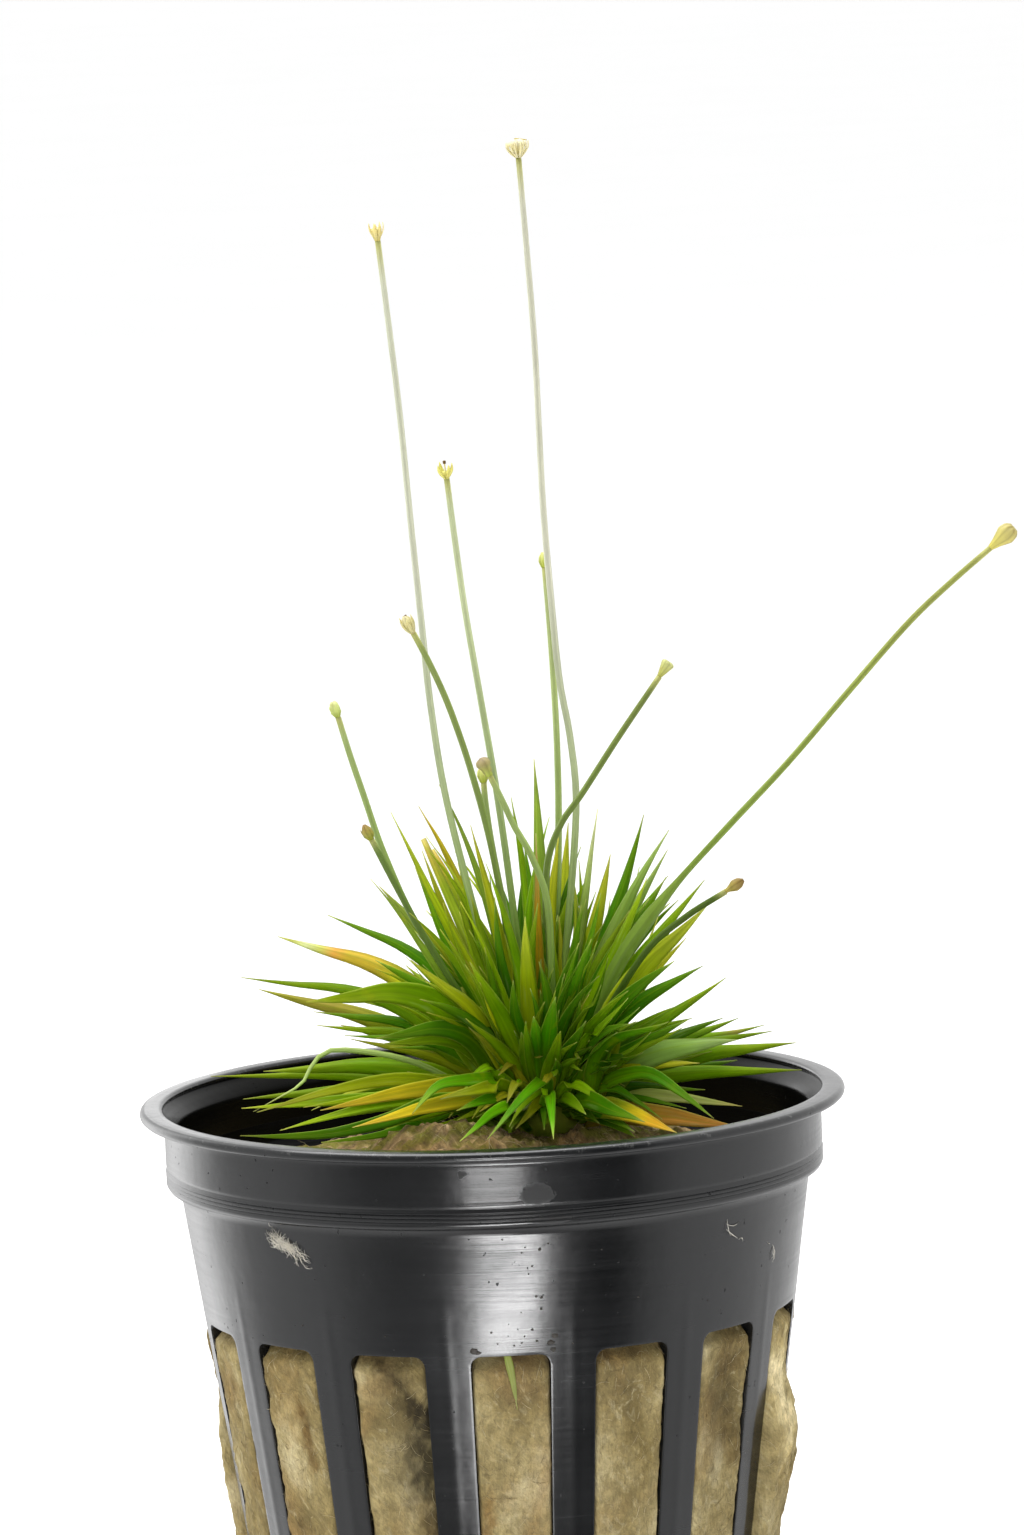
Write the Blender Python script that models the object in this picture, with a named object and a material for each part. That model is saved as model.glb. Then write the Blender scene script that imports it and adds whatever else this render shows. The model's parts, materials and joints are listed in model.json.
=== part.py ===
"""A potted Eriocaulon cinereum: a rosette of grass-like leaves and thin stalks with small button
heads, rooted in a plug of rock wool that fills a black slotted basket pot.

The origin is the middle of the pot's flat underside, +Z is up and -Y is the front.
Lengths are in millimetres, and each mesh is scaled to metres when its object is made.
"""

import math
import random
from collections import namedtuple

import bmesh
import bpy
from mathutils import Quaternion, Vector
from mathutils.bvhtree import BVHTree

METRES_PER_MM = 0.001
GAP = 0.3
TOUCH = 0.1
SHARP_ANGLE = 40.0

# Pot: a moulded basket with a 55 mm rim
POT_HEIGHT = 50.0
RIM_RADIUS = 27.5
RIM_THICKNESS = 0.8
MOUTH_RADIUS = 25.7
COLLAR_RADIUS = 25.6
COLLAR_HEIGHT = 6.2
WALL_TOP_RADIUS = 24.6
BASE_RADIUS = 18.2
WALL = 1.0
FLOOR = 1.2
SLOT_COUNT = 15
COLUMNS_PER_SLOT = 4
SLOT_ANGLE = 15.2
SLOT_TURN = 1.75
SLOT_TOP = 33.6
SLOT_BOTTOM = 5.0
RIB_CREST = 0.55
RIB_TOP = 41.5
DRAIN_OUTER = 13.5
DRAIN_INNER = 7.0

# Rock wool plug
WOOL_BOTTOM = FLOOR + GAP
WOOL_EDGE = 44.6
WOOL_LUMP = 0.45
LUMP_WAVES = (0.9, 0.8)
LUMP_PHASE = 1.0
WOOL_ROWS = (5.8, 14.0, 23.5, 32.8, 39.0)
WOOL_SWELL = (0.0, 0.95, 1.0, 0.0, 0.0)
WOOL_SEED = 7
WOOL_TOP_RINGS = (19.5, 14.5, 9.8, 6.2, 3.4)
WOOL_SHOULDER = 1.0
MOUND = (-3.0, -12.0)
MOUND_HEIGHT = 4.8
MOUND_SPREAD = 8.5
PLANT_MOUND_HEIGHT = 5.0
PLANT_MOUND_SPREAD = 8.5
SWOLLEN_SLOTS = {3: 2.9, 11: 2.6}
SLOT_SWELL = (0.55, 0.95)
SWELL_SPREAD = (0.85, 1.1)

# Heart of the rosette: the short stem that every leaf and stalk grows from
HEART = Vector((4.0, -2.0, 48.9))
HEART_RADII = Vector((3.6, 3.6, 2.4))
HEART_SIDES = 16
HEART_LATITUDES = (-50, -15, 20, 55)

# Leaves are thin folded blades
BLADE_SIDES = 4
LEAF_THICKNESS = 0.34
LEAF_FOLD = 0.16
LEAF_TWIST = 50.0
EXTRA_TWIST = 22.0
TWIST_SPREAD = 5.0
TWIST_LENGTH = 0.4
FOOT_WIDTH = 0.45
FOOT_LENGTH = 0.3
TIP_TAPER = 2.4
INNER_STEPS = 2
OUTER_STEPS = 3
ROUTE_STEPS = 2
INNER_ROOT_SINK = 0.9
INNER_LIFTS = (None, 70, 60, 50, 40, 30, 20, 10)
OUTER_LIFTS = (10, 0, 20, -10, 30, -20, 40, 50)
SHIFT_STEP = 0.5
SHIFT_STEPS = 6
NARROWER = (1.0, 0.85, 0.7)
SIDE_COST = 2.0
RISE_COST = 1.6
GOLDEN_ANGLE = 137.5

# Flower stalks and heads
STALK_RADIUS = 0.25
STALK_FOOT = 1.15
STALK_TAPER = 0.3
STALK_SIDES = 6
STALK_STEPS = 2
SHEATH_RADIUS = 0.58
HEAD_SIDES = 8

Leaf = namedtuple("Leaf", "tip rise width hue through", defaults=((),))
Stalk = namedtuple("Stalk", "root through top head size sheath", defaults=(0,))

# Outer leaves, each with its tip, how far its middle arches above a straight line, and its width
OUTER_LEAVES = (
    Leaf((-12.4, 8.0, 63.4), 3.0, 1.0, "deep"),
    Leaf((-16.4, 9.0, 61.7), 3.0, 2.2, "yellow_green"),
    Leaf((-19.2, 2.0, 59.6), 3.5, 1.7, "bright"),
    Leaf((-16.4, 7.0, 57.3), 1.8, 1.7, "yellow_green"),
    Leaf((-13.9, -9.0, 59.5), 4.8, 2.2, "bright"),
    Leaf((-22.0, 7.0, 51.5), 1.3, 1.1, "bright"),
    Leaf((-17.7, 2.0, 52.6), 2.0, 2.2, "bright"),
    Leaf((-19.3, -3.0, 50.8), 1.4, 1.4, "bright"),
    Leaf((-19.3, -8.0, 50.9), 1.0, 1.2, "bright"),
    Leaf(
        (-18.4, -8.0, 50.6), 0, 0.9, "straw",
        ((-6.0, -2.5, 53.2), (-12.5, -3.0, 54.2), (-14.6, -4.5, 52.0)),
    ),
    Leaf((-16.2, -15.5, 50.3), 1.8, 1.1, "bright"),
    Leaf((-14.1, -10.5, 50.9), 2.0, 1.6, "yellow"),
    Leaf((-19.3, -13.6, 49.7), 0, 1.4, "deep", ((-4.5, -11.0, 51.2), (-12.2, -16.5, 50.1))),
    Leaf((-11.6, -19.5, 49.9), 1.5, 1.6, "yellow"),
    Leaf((-5.6, -15.5, 51.0), 0, 1.4, "vivid", ((0.5, -7.5, 52.2), (-3.8, -12.0, 52.8))),
    Leaf((-2.7, -15.0, 51.2), 0.9, 1.0, "vivid"),
    Leaf((-1.5, -20.0, 49.6), 1.6, 1.2, "vivid"),
    Leaf((-0.4, -19.0, 49.6), 0, 1.2, "vivid", ((4.2, -8.5, 52.3), (2.4, -13.5, 51.8))),
    Leaf((4.6, -19.0, 49.4), 2.2, 0.9, "vivid"),
    Leaf((17.2, -4.0, 65.0), 1.5, 1.9, "yellow_green"),
    Leaf((16.6, -8.0, 60.8), 2.0, 1.5, "deep"),
    Leaf((13.8, -9.5, 56.8), 1.5, 1.5, "deep"),
    Leaf((19.6, 7.5, 54.0), 1.0, 1.6, "bright"),
    Leaf((21.7, 10.5, 52.9), 1.5, 1.7, "bright"),
    Leaf((24.0, 8.0, 52.1), 1.4, 1.7, "bright"),
    Leaf((19.2, -4.0, 54.1), 1.6, 2.0, "sheen"),
    Leaf((24.2, 0.5, 50.8), 1.4, 1.2, "bright"),
    Leaf((17.0, -9.5, 49.0), 0, 1.2, "deep", ((8.8, -4.2, 51.2), (12.4, -6.0, 52.2))),
    Leaf((19.3, -6.0, 49.2), 0.8, 1.0, "straw"),
    Leaf((18.7, -9.8, 48.3), 0.6, 1.5, "orange"),
    Leaf((14.0, -15.5, 49.1), 1.0, 1.8, "yellow"),
    Leaf((-6.0, 19.0, 53.2), 3.0, 1.8, "bright"),
    Leaf((9.0, 19.5, 52.8), 3.0, 1.8, "bright"),
)

# Inner leaves, which make one piece with the heart
INNER_LEAVES = (
    Leaf((-7.0, 3.0, 72.2), 0.8, 1.2, ""),
    Leaf((-4.6, 5.0, 68.9), 0.5, 1.9, ""),
    Leaf((-4.0, 7.5, 68.3), 0.8, 1.0, ""),
    Leaf((-4.9, 9.0, 71.6), 0.8, 1.6, ""),
    Leaf((-2.9, 5.5, 72.2), 0.8, 1.5, ""),
    Leaf((-3.2, 4.0, 73.6), 0.8, 1.5, ""),
    Leaf((-0.3, -4.0, 72.0), 0.6, 1.9, ""),
    Leaf((2.4, 6.0, 72.4), 0.4, 1.1, ""),
    Leaf((3.8, 2.0, 75.8), 0.0, 1.6, ""),
    Leaf((4.2, -4.0, 70.9), 0.2, 1.5, ""),
    Leaf((6.8, 5.0, 70.1), 0.2, 1.8, ""),
    Leaf((7.5, -1.0, 70.0), 0.3, 1.5, ""),
    Leaf((9.1, 3.0, 71.6), 0.5, 1.5, ""),
    Leaf((10.0, 6.0, 67.6), 0.5, 1.4, ""),
    Leaf((9.0, -7.5, 66.7), 0.3, 1.1, ""),
    Leaf((12.7, 4.0, 70.9), 0.8, 2.0, ""),
    Leaf((14.6, 2.0, 69.9), 0.8, 1.8, ""),
    Leaf((14.5, 6.0, 67.8), 1.0, 1.4, ""),
    Leaf((17.2, 1.0, 66.0), 1.2, 1.6, ""),
    Leaf((11.3, -9.0, 59.1), 1.2, 1.4, ""),
    Leaf((-8.2, -4.0, 67.7), 1.2, 1.4, ""),
    Leaf((-8.2, 6.0, 65.8), 1.2, 1.4, ""),
    Leaf((-8.6, -3.0, 61.3), 1.5, 1.5, ""),
    Leaf((-5.8, -9.0, 62.1), 1.5, 1.4, ""),
    Leaf((-11.2, -5.0, 55.8), 2.4, 1.1, ""),
    Leaf((-18.0, -12.0, 51.2), 2.2, 1.1, ""),
    Leaf((-3.9, -16.0, 52.3), 1.5, 1.1, ""),
    Leaf((1.2, -12.5, 50.4), 1.0, 1.4, ""),
    Leaf((18.3, 4.0, 54.6), 1.5, 1.6, ""),
    Leaf((22.1, 4.0, 53.4), 1.6, 1.8, ""),
    Leaf((11.6, -17.0, 50.1), 1.5, 1.5, ""),
)

# Leaves that fill the rosette, from the lowest and flattest to the highest
FILL_LEAVES = 20
FILL_LOWEST = 34.0
FILL_HIGHEST = 76.0
FILL_LENGTH = 17.5
FILL_RISE = 1.0
FILL_WIDTH = 1.6

# Flower stalks: where each leaves the heart, points that it passes and its top, with its head
STALKS = (
    Stalk(
        (4.9, -1.0),
        ((7.4, 1.0, 72.0), (6.5, 2.0, 82.0), (5.8, 3.0, 95.0), (5.6, 3.5, 108.0)),
        (4.9, 4.0, 122.5), "cup", 1.9,
    ),
    Stalk(
        (2.3, -1.4),
        ((-2.6, -0.5, 73.0), (-4.0, 0.0, 87.0), (-5.0, 0.0, 103.0)),
        (-6.2, 0.0, 116.8), "cup", 1.3,
    ),
    Stalk((3.4, -1.7), ((1.4, -2.0, 73.0), (-0.6, -3.0, 88.5)), (-1.6, -4.0, 98.6), "cup", 1.2),
    Stalk(
        (6.1, -2.3),
        ((10.1, -2.8, 60.1), (15.3, -3.0, 66.8), (24.0, -3.3, 75.6), (33.5, -3.7, 86.0)),
        (40.0, -4.0, 91.6), "egg", 1.6, 2,
    ),
    Stalk((3.0, -2.9), ((0.8, -5.0, 69.7), (-2.0, -6.5, 81.0)), (-4.6, -8.0, 87.2), "egg", 1.3),
    Stalk((5.1, -2.2), ((4.9, -2.9, 67.5), (8.0, -3.2, 73.8)), (14.2, -2.0, 82.4), "bud", 1.1),
    Stalk((2.7, -0.4), ((-5.4, 1.0, 63.5), (-9.0, 1.3, 73.5)), (-10.8, 1.5, 79.8), "bud", 1.0),
    Stalk((1.9, -2.5), ((-4.3, -4.0, 62.3),), (-8.5, -5.0, 71.0), "bud", 1.0),
    Stalk((4.7, -3.6), ((4.9, -6.0, 65.5), (2.6, -7.0, 71.8)), (0.8, -8.0, 76.0), "bud", 1.2),
    Stalk((3.7, -0.5), ((0.8, 1.8, 69.0),), (0.3, 2.0, 74.2), "bud", 1.0),
    Stalk((5.7, -3.4), ((12.5, -6.5, 61.8),), (18.6, -8.0, 66.3), "egg", 1.0),
    Stalk((4.7, 0.1), ((6.0, 3.6, 70.0), (6.1, 5.0, 81.0)), (5.7, 6.0, 90.4), "bud", 0.9),
)

# Profiles of the three sorts of flower head: radius and height as parts of the head's size
HEAD_PROFILES = {
    "cup": ((0.15, 0.0), (0.3, 0.2), (0.4, 0.5), (0.5, 0.85)),
    "egg": ((0.18, 0.0), (0.44, 0.35), (0.5, 0.8), (0.28, 1.15)),
    "bud": ((0.22, 0.0), (0.46, 0.3), (0.5, 0.6), (0.36, 0.9)),
}
HEAD_TOPS = {"cup": 0.55, "egg": 1.3, "bud": 0.95}
CUP_NOTCH = 0.72

# Colour and roughness of each finish
FINISHES = {
    "black_plastic": ((0.02, 0.021, 0.023), 0.32),
    "rock_wool": ((0.42, 0.33, 0.19), 0.95),
    "flower_stem": ((0.42, 0.52, 0.28), 0.45),
    "flower_head": ((0.72, 0.66, 0.3), 0.7),
    "leaf_deep": ((0.07, 0.2, 0.02), 0.4),
    "leaf_bright": ((0.2, 0.4, 0.03), 0.4),
    "leaf_yellow_green": ((0.36, 0.45, 0.05), 0.4),
    "leaf_vivid": ((0.09, 0.36, 0.03), 0.4),
    "leaf_yellow": ((0.6, 0.47, 0.03), 0.4),
    "leaf_straw": ((0.62, 0.62, 0.3), 0.4),
    "leaf_sheen": ((0.3, 0.42, 0.2), 0.4),
    "leaf_orange": ((0.6, 0.3, 0.08), 0.4),
}


def clear_scene():
    for obj in list(bpy.data.objects):
        bpy.data.objects.remove(obj, do_unlink=True)


def material(name):
    """The material of a finish. Nothing here is metal."""
    colour, roughness = FINISHES[name]
    made = bpy.data.materials.get(name) or bpy.data.materials.new(name)
    made.use_nodes = True
    shader = made.node_tree.nodes["Principled BSDF"]
    shader.inputs["Base Color"].default_value = (*colour, 1.0)
    shader.inputs["Roughness"].default_value = roughness
    shader.inputs["Metallic"].default_value = 0.0
    return made


def add_object(name, points, faces, finish):
    """A closed mesh object from points in millimetres."""
    mesh = bpy.data.meshes.new(name)
    mesh.from_pydata([tuple(Vector(point) * METRES_PER_MM) for point in points], [], faces)
    mesh.materials.append(finish)
    shape = bmesh.new()
    shape.from_mesh(mesh)
    bmesh.ops.recalc_face_normals(shape, faces=shape.faces)
    shape.to_mesh(mesh)
    shape.free()
    mesh.shade_smooth()
    mesh.set_sharp_from_angle(angle=math.radians(SHARP_ANGLE))
    obj = bpy.data.objects.new(name, mesh)
    bpy.context.scene.collection.objects.link(obj)
    return obj


def polar(radius, degrees, height):
    angle = math.radians(degrees)
    return Vector((radius * math.cos(angle), radius * math.sin(angle), height))


def spline(points, steps):
    """A smooth curve through the points, with the same number of steps between each two."""
    ends = [2 * points[0] - points[1], *points, 2 * points[-1] - points[-2]]
    curve = []
    for a, b, c, d in zip(ends, ends[1:], ends[2:], ends[3:]):
        for step in range(steps):
            t = step / steps
            bend = (2 * a - 5 * b + 4 * c - d) * t**2 + (3 * b - a - 3 * c + d) * t**3
            curve.append(0.5 * (2 * b + (c - a) * t + bend))
    return curve + [points[-1].copy()]


def loft(rings):
    """Points and faces of a closed solid through rings of points. A ring of one point is a tip."""
    points = [point for ring in rings for point in ring]
    starts = [sum(len(ring) for ring in rings[:index]) for index in range(len(rings))]
    faces = []
    for index in range(len(rings) - 1):
        low, high = rings[index], rings[index + 1]
        a, b = starts[index], starts[index + 1]
        count = max(len(low), len(high))
        for side in range(count):
            turn = (side + 1) % count
            if len(low) == 1:
                faces.append((a, b + side, b + turn))
            elif len(high) == 1:
                faces.append((a + side, a + turn, b))
            else:
                faces.append((a + side, a + turn, b + turn, b + side))
    for start, ring in ((starts[0], rings[0]), (starts[-1], rings[-1])):
        if len(ring) > 1:
            faces.append(tuple(range(start, start + len(ring))))
    return points, faces


# Pot


def wall_radius(height):
    """Outer radius of the tapering wall between the base and the collar."""
    wall_height = POT_HEIGHT - COLLAR_HEIGHT
    return BASE_RADIUS + (WALL_TOP_RADIUS - BASE_RADIUS) * height / wall_height


def pot_columns():
    """Angles of the mesh columns: the two sides and the middle of each slot, and each rib's crest."""
    pitch = 360.0 / SLOT_COUNT
    front = -90.0 + SLOT_TURN
    steps = (-SLOT_ANGLE / 2, 0.0, SLOT_ANGLE / 2, pitch / 2)
    return [front + slot * pitch + step for slot in range(SLOT_COUNT) for step in steps]


def pot_profile():
    """Rows of (outer radius, outer height, inner radius, inner height) from the rim to the floor."""
    top = POT_HEIGHT
    collar_bottom = top - COLLAR_HEIGHT
    inner_collar = COLLAR_RADIUS - WALL
    rows = [
        (RIM_RADIUS, top, MOUTH_RADIUS, top),
        (RIM_RADIUS, top - RIM_THICKNESS, inner_collar + TOUCH, top - RIM_THICKNESS),
        (COLLAR_RADIUS + TOUCH, top - RIM_THICKNESS - TOUCH, inner_collar, top - 2 * RIM_THICKNESS),
        (COLLAR_RADIUS, collar_bottom, inner_collar - TOUCH, collar_bottom + RIM_THICKNESS),
        (WALL_TOP_RADIUS, collar_bottom - TOUCH, WALL_TOP_RADIUS - WALL, collar_bottom),
    ]
    for height in (RIB_TOP, SLOT_TOP, SLOT_BOTTOM):
        rows.append((wall_radius(height), height, wall_radius(height) - WALL, height))
    rows.append((BASE_RADIUS, 0.0, BASE_RADIUS - WALL, FLOOR))
    rows.append((DRAIN_OUTER, 0.0, DRAIN_OUTER, FLOOR))
    rows.append((DRAIN_INNER, 0.0, DRAIN_INNER, FLOOR))
    return rows


def rib_bulge(column, height):
    """How far a rib's crest stands out of the wall. It fades into the wall at its two ends."""
    on_crest = column % COLUMNS_PER_SLOT == COLUMNS_PER_SLOT - 1
    return RIB_CREST if on_crest and 0 < height < RIB_TOP else 0.0


def is_open(column, row, profile):
    """Whether the cell after this column and below this row is a slot or a drain hole."""
    radius, height = profile[row][:2]
    beside_rib = column % COLUMNS_PER_SLOT < COLUMNS_PER_SLOT // 2
    return beside_rib and (radius == DRAIN_OUTER or SLOT_BOTTOM < height <= SLOT_TOP)


def add_pot():
    columns, profile = pot_columns(), pot_profile()
    count, rows = len(columns), len(profile)
    points = []
    for radius, height, inner_radius, inner_height in profile:
        for column, angle in enumerate(columns):
            points.append(polar(radius + rib_bulge(column, height), angle, height))
        points += [polar(inner_radius, angle, inner_height) for angle in columns]
    under, over = len(points), len(points) + 1
    points += [Vector((0.0, 0.0, 0.0)), Vector((0.0, 0.0, FLOOR))]

    def outer(row, column):
        return row * 2 * count + column % count

    def inner(row, column):
        return outer(row, column) + count

    def solid(row, column):
        return 0 <= row < rows - 1 and not is_open(column % count, row, profile)

    def edge_face(start, end):
        """The face through the wall's thickness along one edge of an opening."""
        return (outer(*start), inner(*start), inner(*end), outer(*end))

    faces = []
    for row in range(-1, rows - 1):
        for column in range(count):
            after, below_row = column + 1, row + 1
            here = solid(row, column)
            if here:
                corners = ((row, column), (row, after), (below_row, after), (below_row, column))
                faces.append(tuple(outer(*corner) for corner in corners))
                faces.append(tuple(inner(*corner) for corner in reversed(corners)))
            if row >= 0 and here != solid(row, after):
                faces.append(edge_face((row, after), (below_row, after)))
            if here != (solid(below_row, column) or below_row == rows - 1):
                faces.append(edge_face((below_row, column), (below_row, after)))
    for column in range(count):
        faces.append((outer(rows - 1, column), outer(rows - 1, column + 1), under))
        faces.append((inner(rows - 1, column), inner(rows - 1, column + 1), over))
    return add_object("pot", points, faces, material("black_plastic"))


# Rock wool


def wool_top(x, y):
    """Height of the wool's upper side: lumpy, with one mound in front and one around the plant."""
    from_mound = math.hypot(x - MOUND[0], y - MOUND[1]) / MOUND_SPREAD
    from_plant = math.hypot(x - HEART.x, y - HEART.y) / PLANT_MOUND_SPREAD
    mounds = (MOUND_HEIGHT * math.exp(-from_mound**2), PLANT_MOUND_HEIGHT * math.exp(-from_plant**2))
    lumps = WOOL_LUMP * math.sin(LUMP_WAVES[0] * x + LUMP_PHASE) * math.cos(LUMP_WAVES[1] * y)
    return WOOL_EDGE + max(mounds) + lumps


def wool_side_rings():
    """Rings of the wool's side, which pushes out a little through each slot and further through two."""
    chance = random.Random(WOOL_SEED)
    swells = [SWOLLEN_SLOTS.get(slot, chance.uniform(*SLOT_SWELL)) for slot in range(SLOT_COUNT)]
    rings = []
    for height, part in zip(WOOL_ROWS, WOOL_SWELL):
        ring = []
        for column, angle in enumerate(pot_columns()):
            radius = wall_radius(height) - WALL - GAP - TOUCH
            if column % COLUMNS_PER_SLOT == 1:
                radius += part * swells[column // COLUMNS_PER_SLOT] * chance.uniform(*SWELL_SPREAD)
            ring.append(polar(radius, angle, height))
        rings.append(ring)
    return rings


def wool_top_rings(edge_radius):
    """Rings of the wool's upper side, which close in on the plant and dip under its heart."""
    seat = HEART.z - HEART_RADII.z - GAP
    dip = seat + WOOL_SHOULDER
    rings = []
    for radius in WOOL_TOP_RINGS:
        centre = HEART * (1.0 - radius / edge_radius)
        ring = []
        for angle in pot_columns():
            point = centre + polar(radius, angle, 0.0)
            ring.append(Vector((point.x, point.y, wool_top(point.x, point.y))))
        rings.append(ring)
    for point in rings[-1]:
        point.z = min(point.z, dip)
    return [*rings, [Vector((HEART.x, HEART.y, seat - TOUCH))]]


def add_rock_wool():
    columns = pot_columns()
    bottom = [polar(BASE_RADIUS - WALL - 2 * GAP, angle, WOOL_BOTTOM) for angle in columns]
    shoulder = POT_HEIGHT - COLLAR_HEIGHT - WOOL_SHOULDER
    edge_radius = wall_radius(POT_HEIGHT - COLLAR_HEIGHT) - WALL - 2 * GAP
    edge = [polar(edge_radius, angle, shoulder) for angle in columns]
    under = [Vector((0.0, 0.0, WOOL_BOTTOM))]
    points, faces = loft([under, bottom, *wool_side_rings(), edge, *wool_top_rings(edge_radius)])
    return add_object("rock_wool", points, faces, material("rock_wool"))


# Plant


def heart_surface(direction, sink=0.0):
    """The point of the heart's surface in a direction from its middle, moved inwards by sink."""
    scaled = Vector(part / radius for part, radius in zip(direction, HEART_RADII))
    out = direction / scaled.length
    return HEART + out * (1.0 - sink / out.length)


def leaf_path(leaf, shift, lift, sink, steps):
    """Points along a leaf's middle. The shift moves its tip, and lift raises its root."""
    tip = Vector(leaf.tip) + shift
    if leaf.through:
        through = [Vector(point) + shift * 0.5 for point in leaf.through]
    else:
        through = [(HEART + tip) / 2 + Vector((0.0, 0.0, leaf.rise))]
    direction = (through[0] - HEART).normalized()
    if lift is not None:
        direction.z = math.tan(math.radians(lift)) * math.hypot(direction.x, direction.y)
    root = heart_surface(direction.normalized(), sink)
    return spline([root, *through, tip], steps if len(through) == 1 else ROUTE_STEPS)


def leaf_rings(path, width, swell=0.0, keeled=False):
    """Rings of points that make a blade folded along its middle and pointed at its tip.

    A ring has the two edges and the two faces of the fold, or on a keeled blade one point below
    both edges. Each blade twists on its way out, the ones at the sides most, so that its upper face shows.
    """
    run = path[-1] - path[0]
    side = Vector((-run.y, run.x, 0.0)).normalized()
    sideways = run.x / math.hypot(run.x, run.y)
    twist = LEAF_TWIST * sideways + EXTRA_TWIST * math.sin(TWIST_SPREAD * run.length)
    rings = []
    for index, point in enumerate(path[:-1]):
        t = index / (len(path) - 1)
        along = (path[index + 1] - path[max(index - 1, 0)]).normalized()
        across = (side - along * side.dot(along)).normalized()
        across = Quaternion(along, math.radians(twist * min(1.0, t / TWIST_LENGTH))) @ across
        face = along.cross(across)
        foot = FOOT_WIDTH + (1.0 - FOOT_WIDTH) * min(1.0, t / FOOT_LENGTH)
        half = 0.5 * width * foot * (1.0 - t**TIP_TAPER) + swell
        left, right = point + across * half, point - across * half
        middle = point - face * LEAF_FOLD * width
        depth = face * (LEAF_THICKNESS / 2 + swell)
        if keeled:
            rings.append([left, right, middle - depth])
        else:
            rings.append([left, middle + depth, right, middle - depth])
    rings.append([path[-1] + run.normalized() * swell])
    return rings


def split_sides(faces):
    """A folded blade's faces, split along diagonals that match above and below.

    Without that a twist can push the thin blade's upper side through its under side. The faces go
    round the blade ring by ring, and end with those of its tip and the one across its foot.
    """
    *sides, foot = faces
    split = []
    for index, face in enumerate(sides):
        if len(face) < BLADE_SIDES:
            split.append(face)
            continue
        a, b, c, d = face
        upper = index % BLADE_SIDES < BLADE_SIDES // 2
        split += [(a, b, c), (a, c, d)] if upper else [(a, b, d), (b, c, d)]
    return [*split, foot]


def tree_of(rings):
    points, faces = loft(rings)
    return BVHTree.FromPolygons(points, faces)


def is_clear(tree, others):
    return not any(tree.overlap(other) for other in others)


def small_shifts():
    """Ways to move a leaf's tip aside, the smallest first and preferably in depth."""
    deep = [SHIFT_STEP * step for step in range(-SHIFT_STEPS, SHIFT_STEPS + 1)]
    wide = [step for step in deep if abs(step) <= SHIFT_STEP * SHIFT_STEPS / 2]
    shifts = [Vector((x, y, z)) for x in wide for y in deep for z in (0.0, SHIFT_STEP, 2 * SHIFT_STEP)]
    return sorted(shifts, key=lambda shift: SIDE_COST * abs(shift.x) + abs(shift.y) + RISE_COST * shift.z)


def place_leaf(leaf, others, lifts, sink, steps):
    """Path and width of a leaf that clears the others, moved or narrowed as little as that takes."""
    for width in (leaf.width * part for part in NARROWER):
        for shift in small_shifts():
            for lift in lifts:
                path = leaf_path(leaf, shift, lift, sink, steps)
                if is_clear(tree_of(leaf_rings(path, width, GAP / 2)), others):
                    return path, width
    return None, 0.0


def fill_leaves():
    """Leaves that fill the rosette, each a golden angle round from the one before."""
    leaves = []
    for index in range(FILL_LEAVES):
        part = index / (FILL_LEAVES - 1)
        rise = math.radians(FILL_LOWEST + (FILL_HIGHEST - FILL_LOWEST) * part)
        flat = polar(math.cos(rise) * FILL_LENGTH, index * GOLDEN_ANGLE, math.sin(rise) * FILL_LENGTH)
        leaves.append(Leaf(tuple(HEART + flat), FILL_RISE, FILL_WIDTH, ""))
    return leaves


def heart_rings():
    rings = [[HEART - Vector((0.0, 0.0, HEART_RADII.z))]]
    for latitude in HEART_LATITUDES:
        radius = HEART_RADII.x * math.cos(math.radians(latitude))
        height = HEART_RADII.z * math.sin(math.radians(latitude))
        angles = [360.0 * side / HEART_SIDES for side in range(HEART_SIDES)]
        rings.append([HEART + polar(radius, angle, height) for angle in angles])
    rings.append([HEART + Vector((0.0, 0.0, HEART_RADII.z))])
    return rings


def add_inner_rosette(stalk_trees):
    """The heart with its inner leaves, joined into one body. Returns its object and leaf trees."""
    finish = material("leaf_deep")
    rosette = add_object("inner_rosette", *loft(heart_rings()), finish)
    trees = []
    blades = bpy.data.collections.new("inner_blades")
    fill = fill_leaves()
    for leaf in (*INNER_LEAVES, *fill):
        path, width = place_leaf(leaf, stalk_trees, INNER_LIFTS, INNER_ROOT_SINK, INNER_STEPS)
        if path is None and leaf in fill:
            continue
        if path is None:
            raise SystemExit(f"no room for the inner leaf with its tip at {leaf.tip}")
        rings = leaf_rings(path, width, keeled=True)
        trees.append(tree_of(rings))
        blade = add_object("inner_blade", *loft(rings), finish)
        bpy.context.scene.collection.objects.unlink(blade)
        blades.objects.link(blade)
    union = rosette.modifiers.new("grown together", "BOOLEAN")
    union.operation = "UNION"
    union.operand_type = "COLLECTION"
    union.collection = blades
    union.solver = "MANIFOLD"
    return rosette, [tree_of(heart_rings()), *trees]


def stalk_path(stalk):
    x, y = stalk.root
    flat = Vector(((x - HEART.x) / HEART_RADII.x, (y - HEART.y) / HEART_RADII.y))
    height = HEART.z + HEART_RADII.z * math.sqrt(1.0 - flat.length_squared)
    root = Vector((x, y, height + GAP + TOUCH))
    return spline([root, *map(Vector, stalk.through), Vector(stalk.top)], STALK_STEPS)


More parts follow.
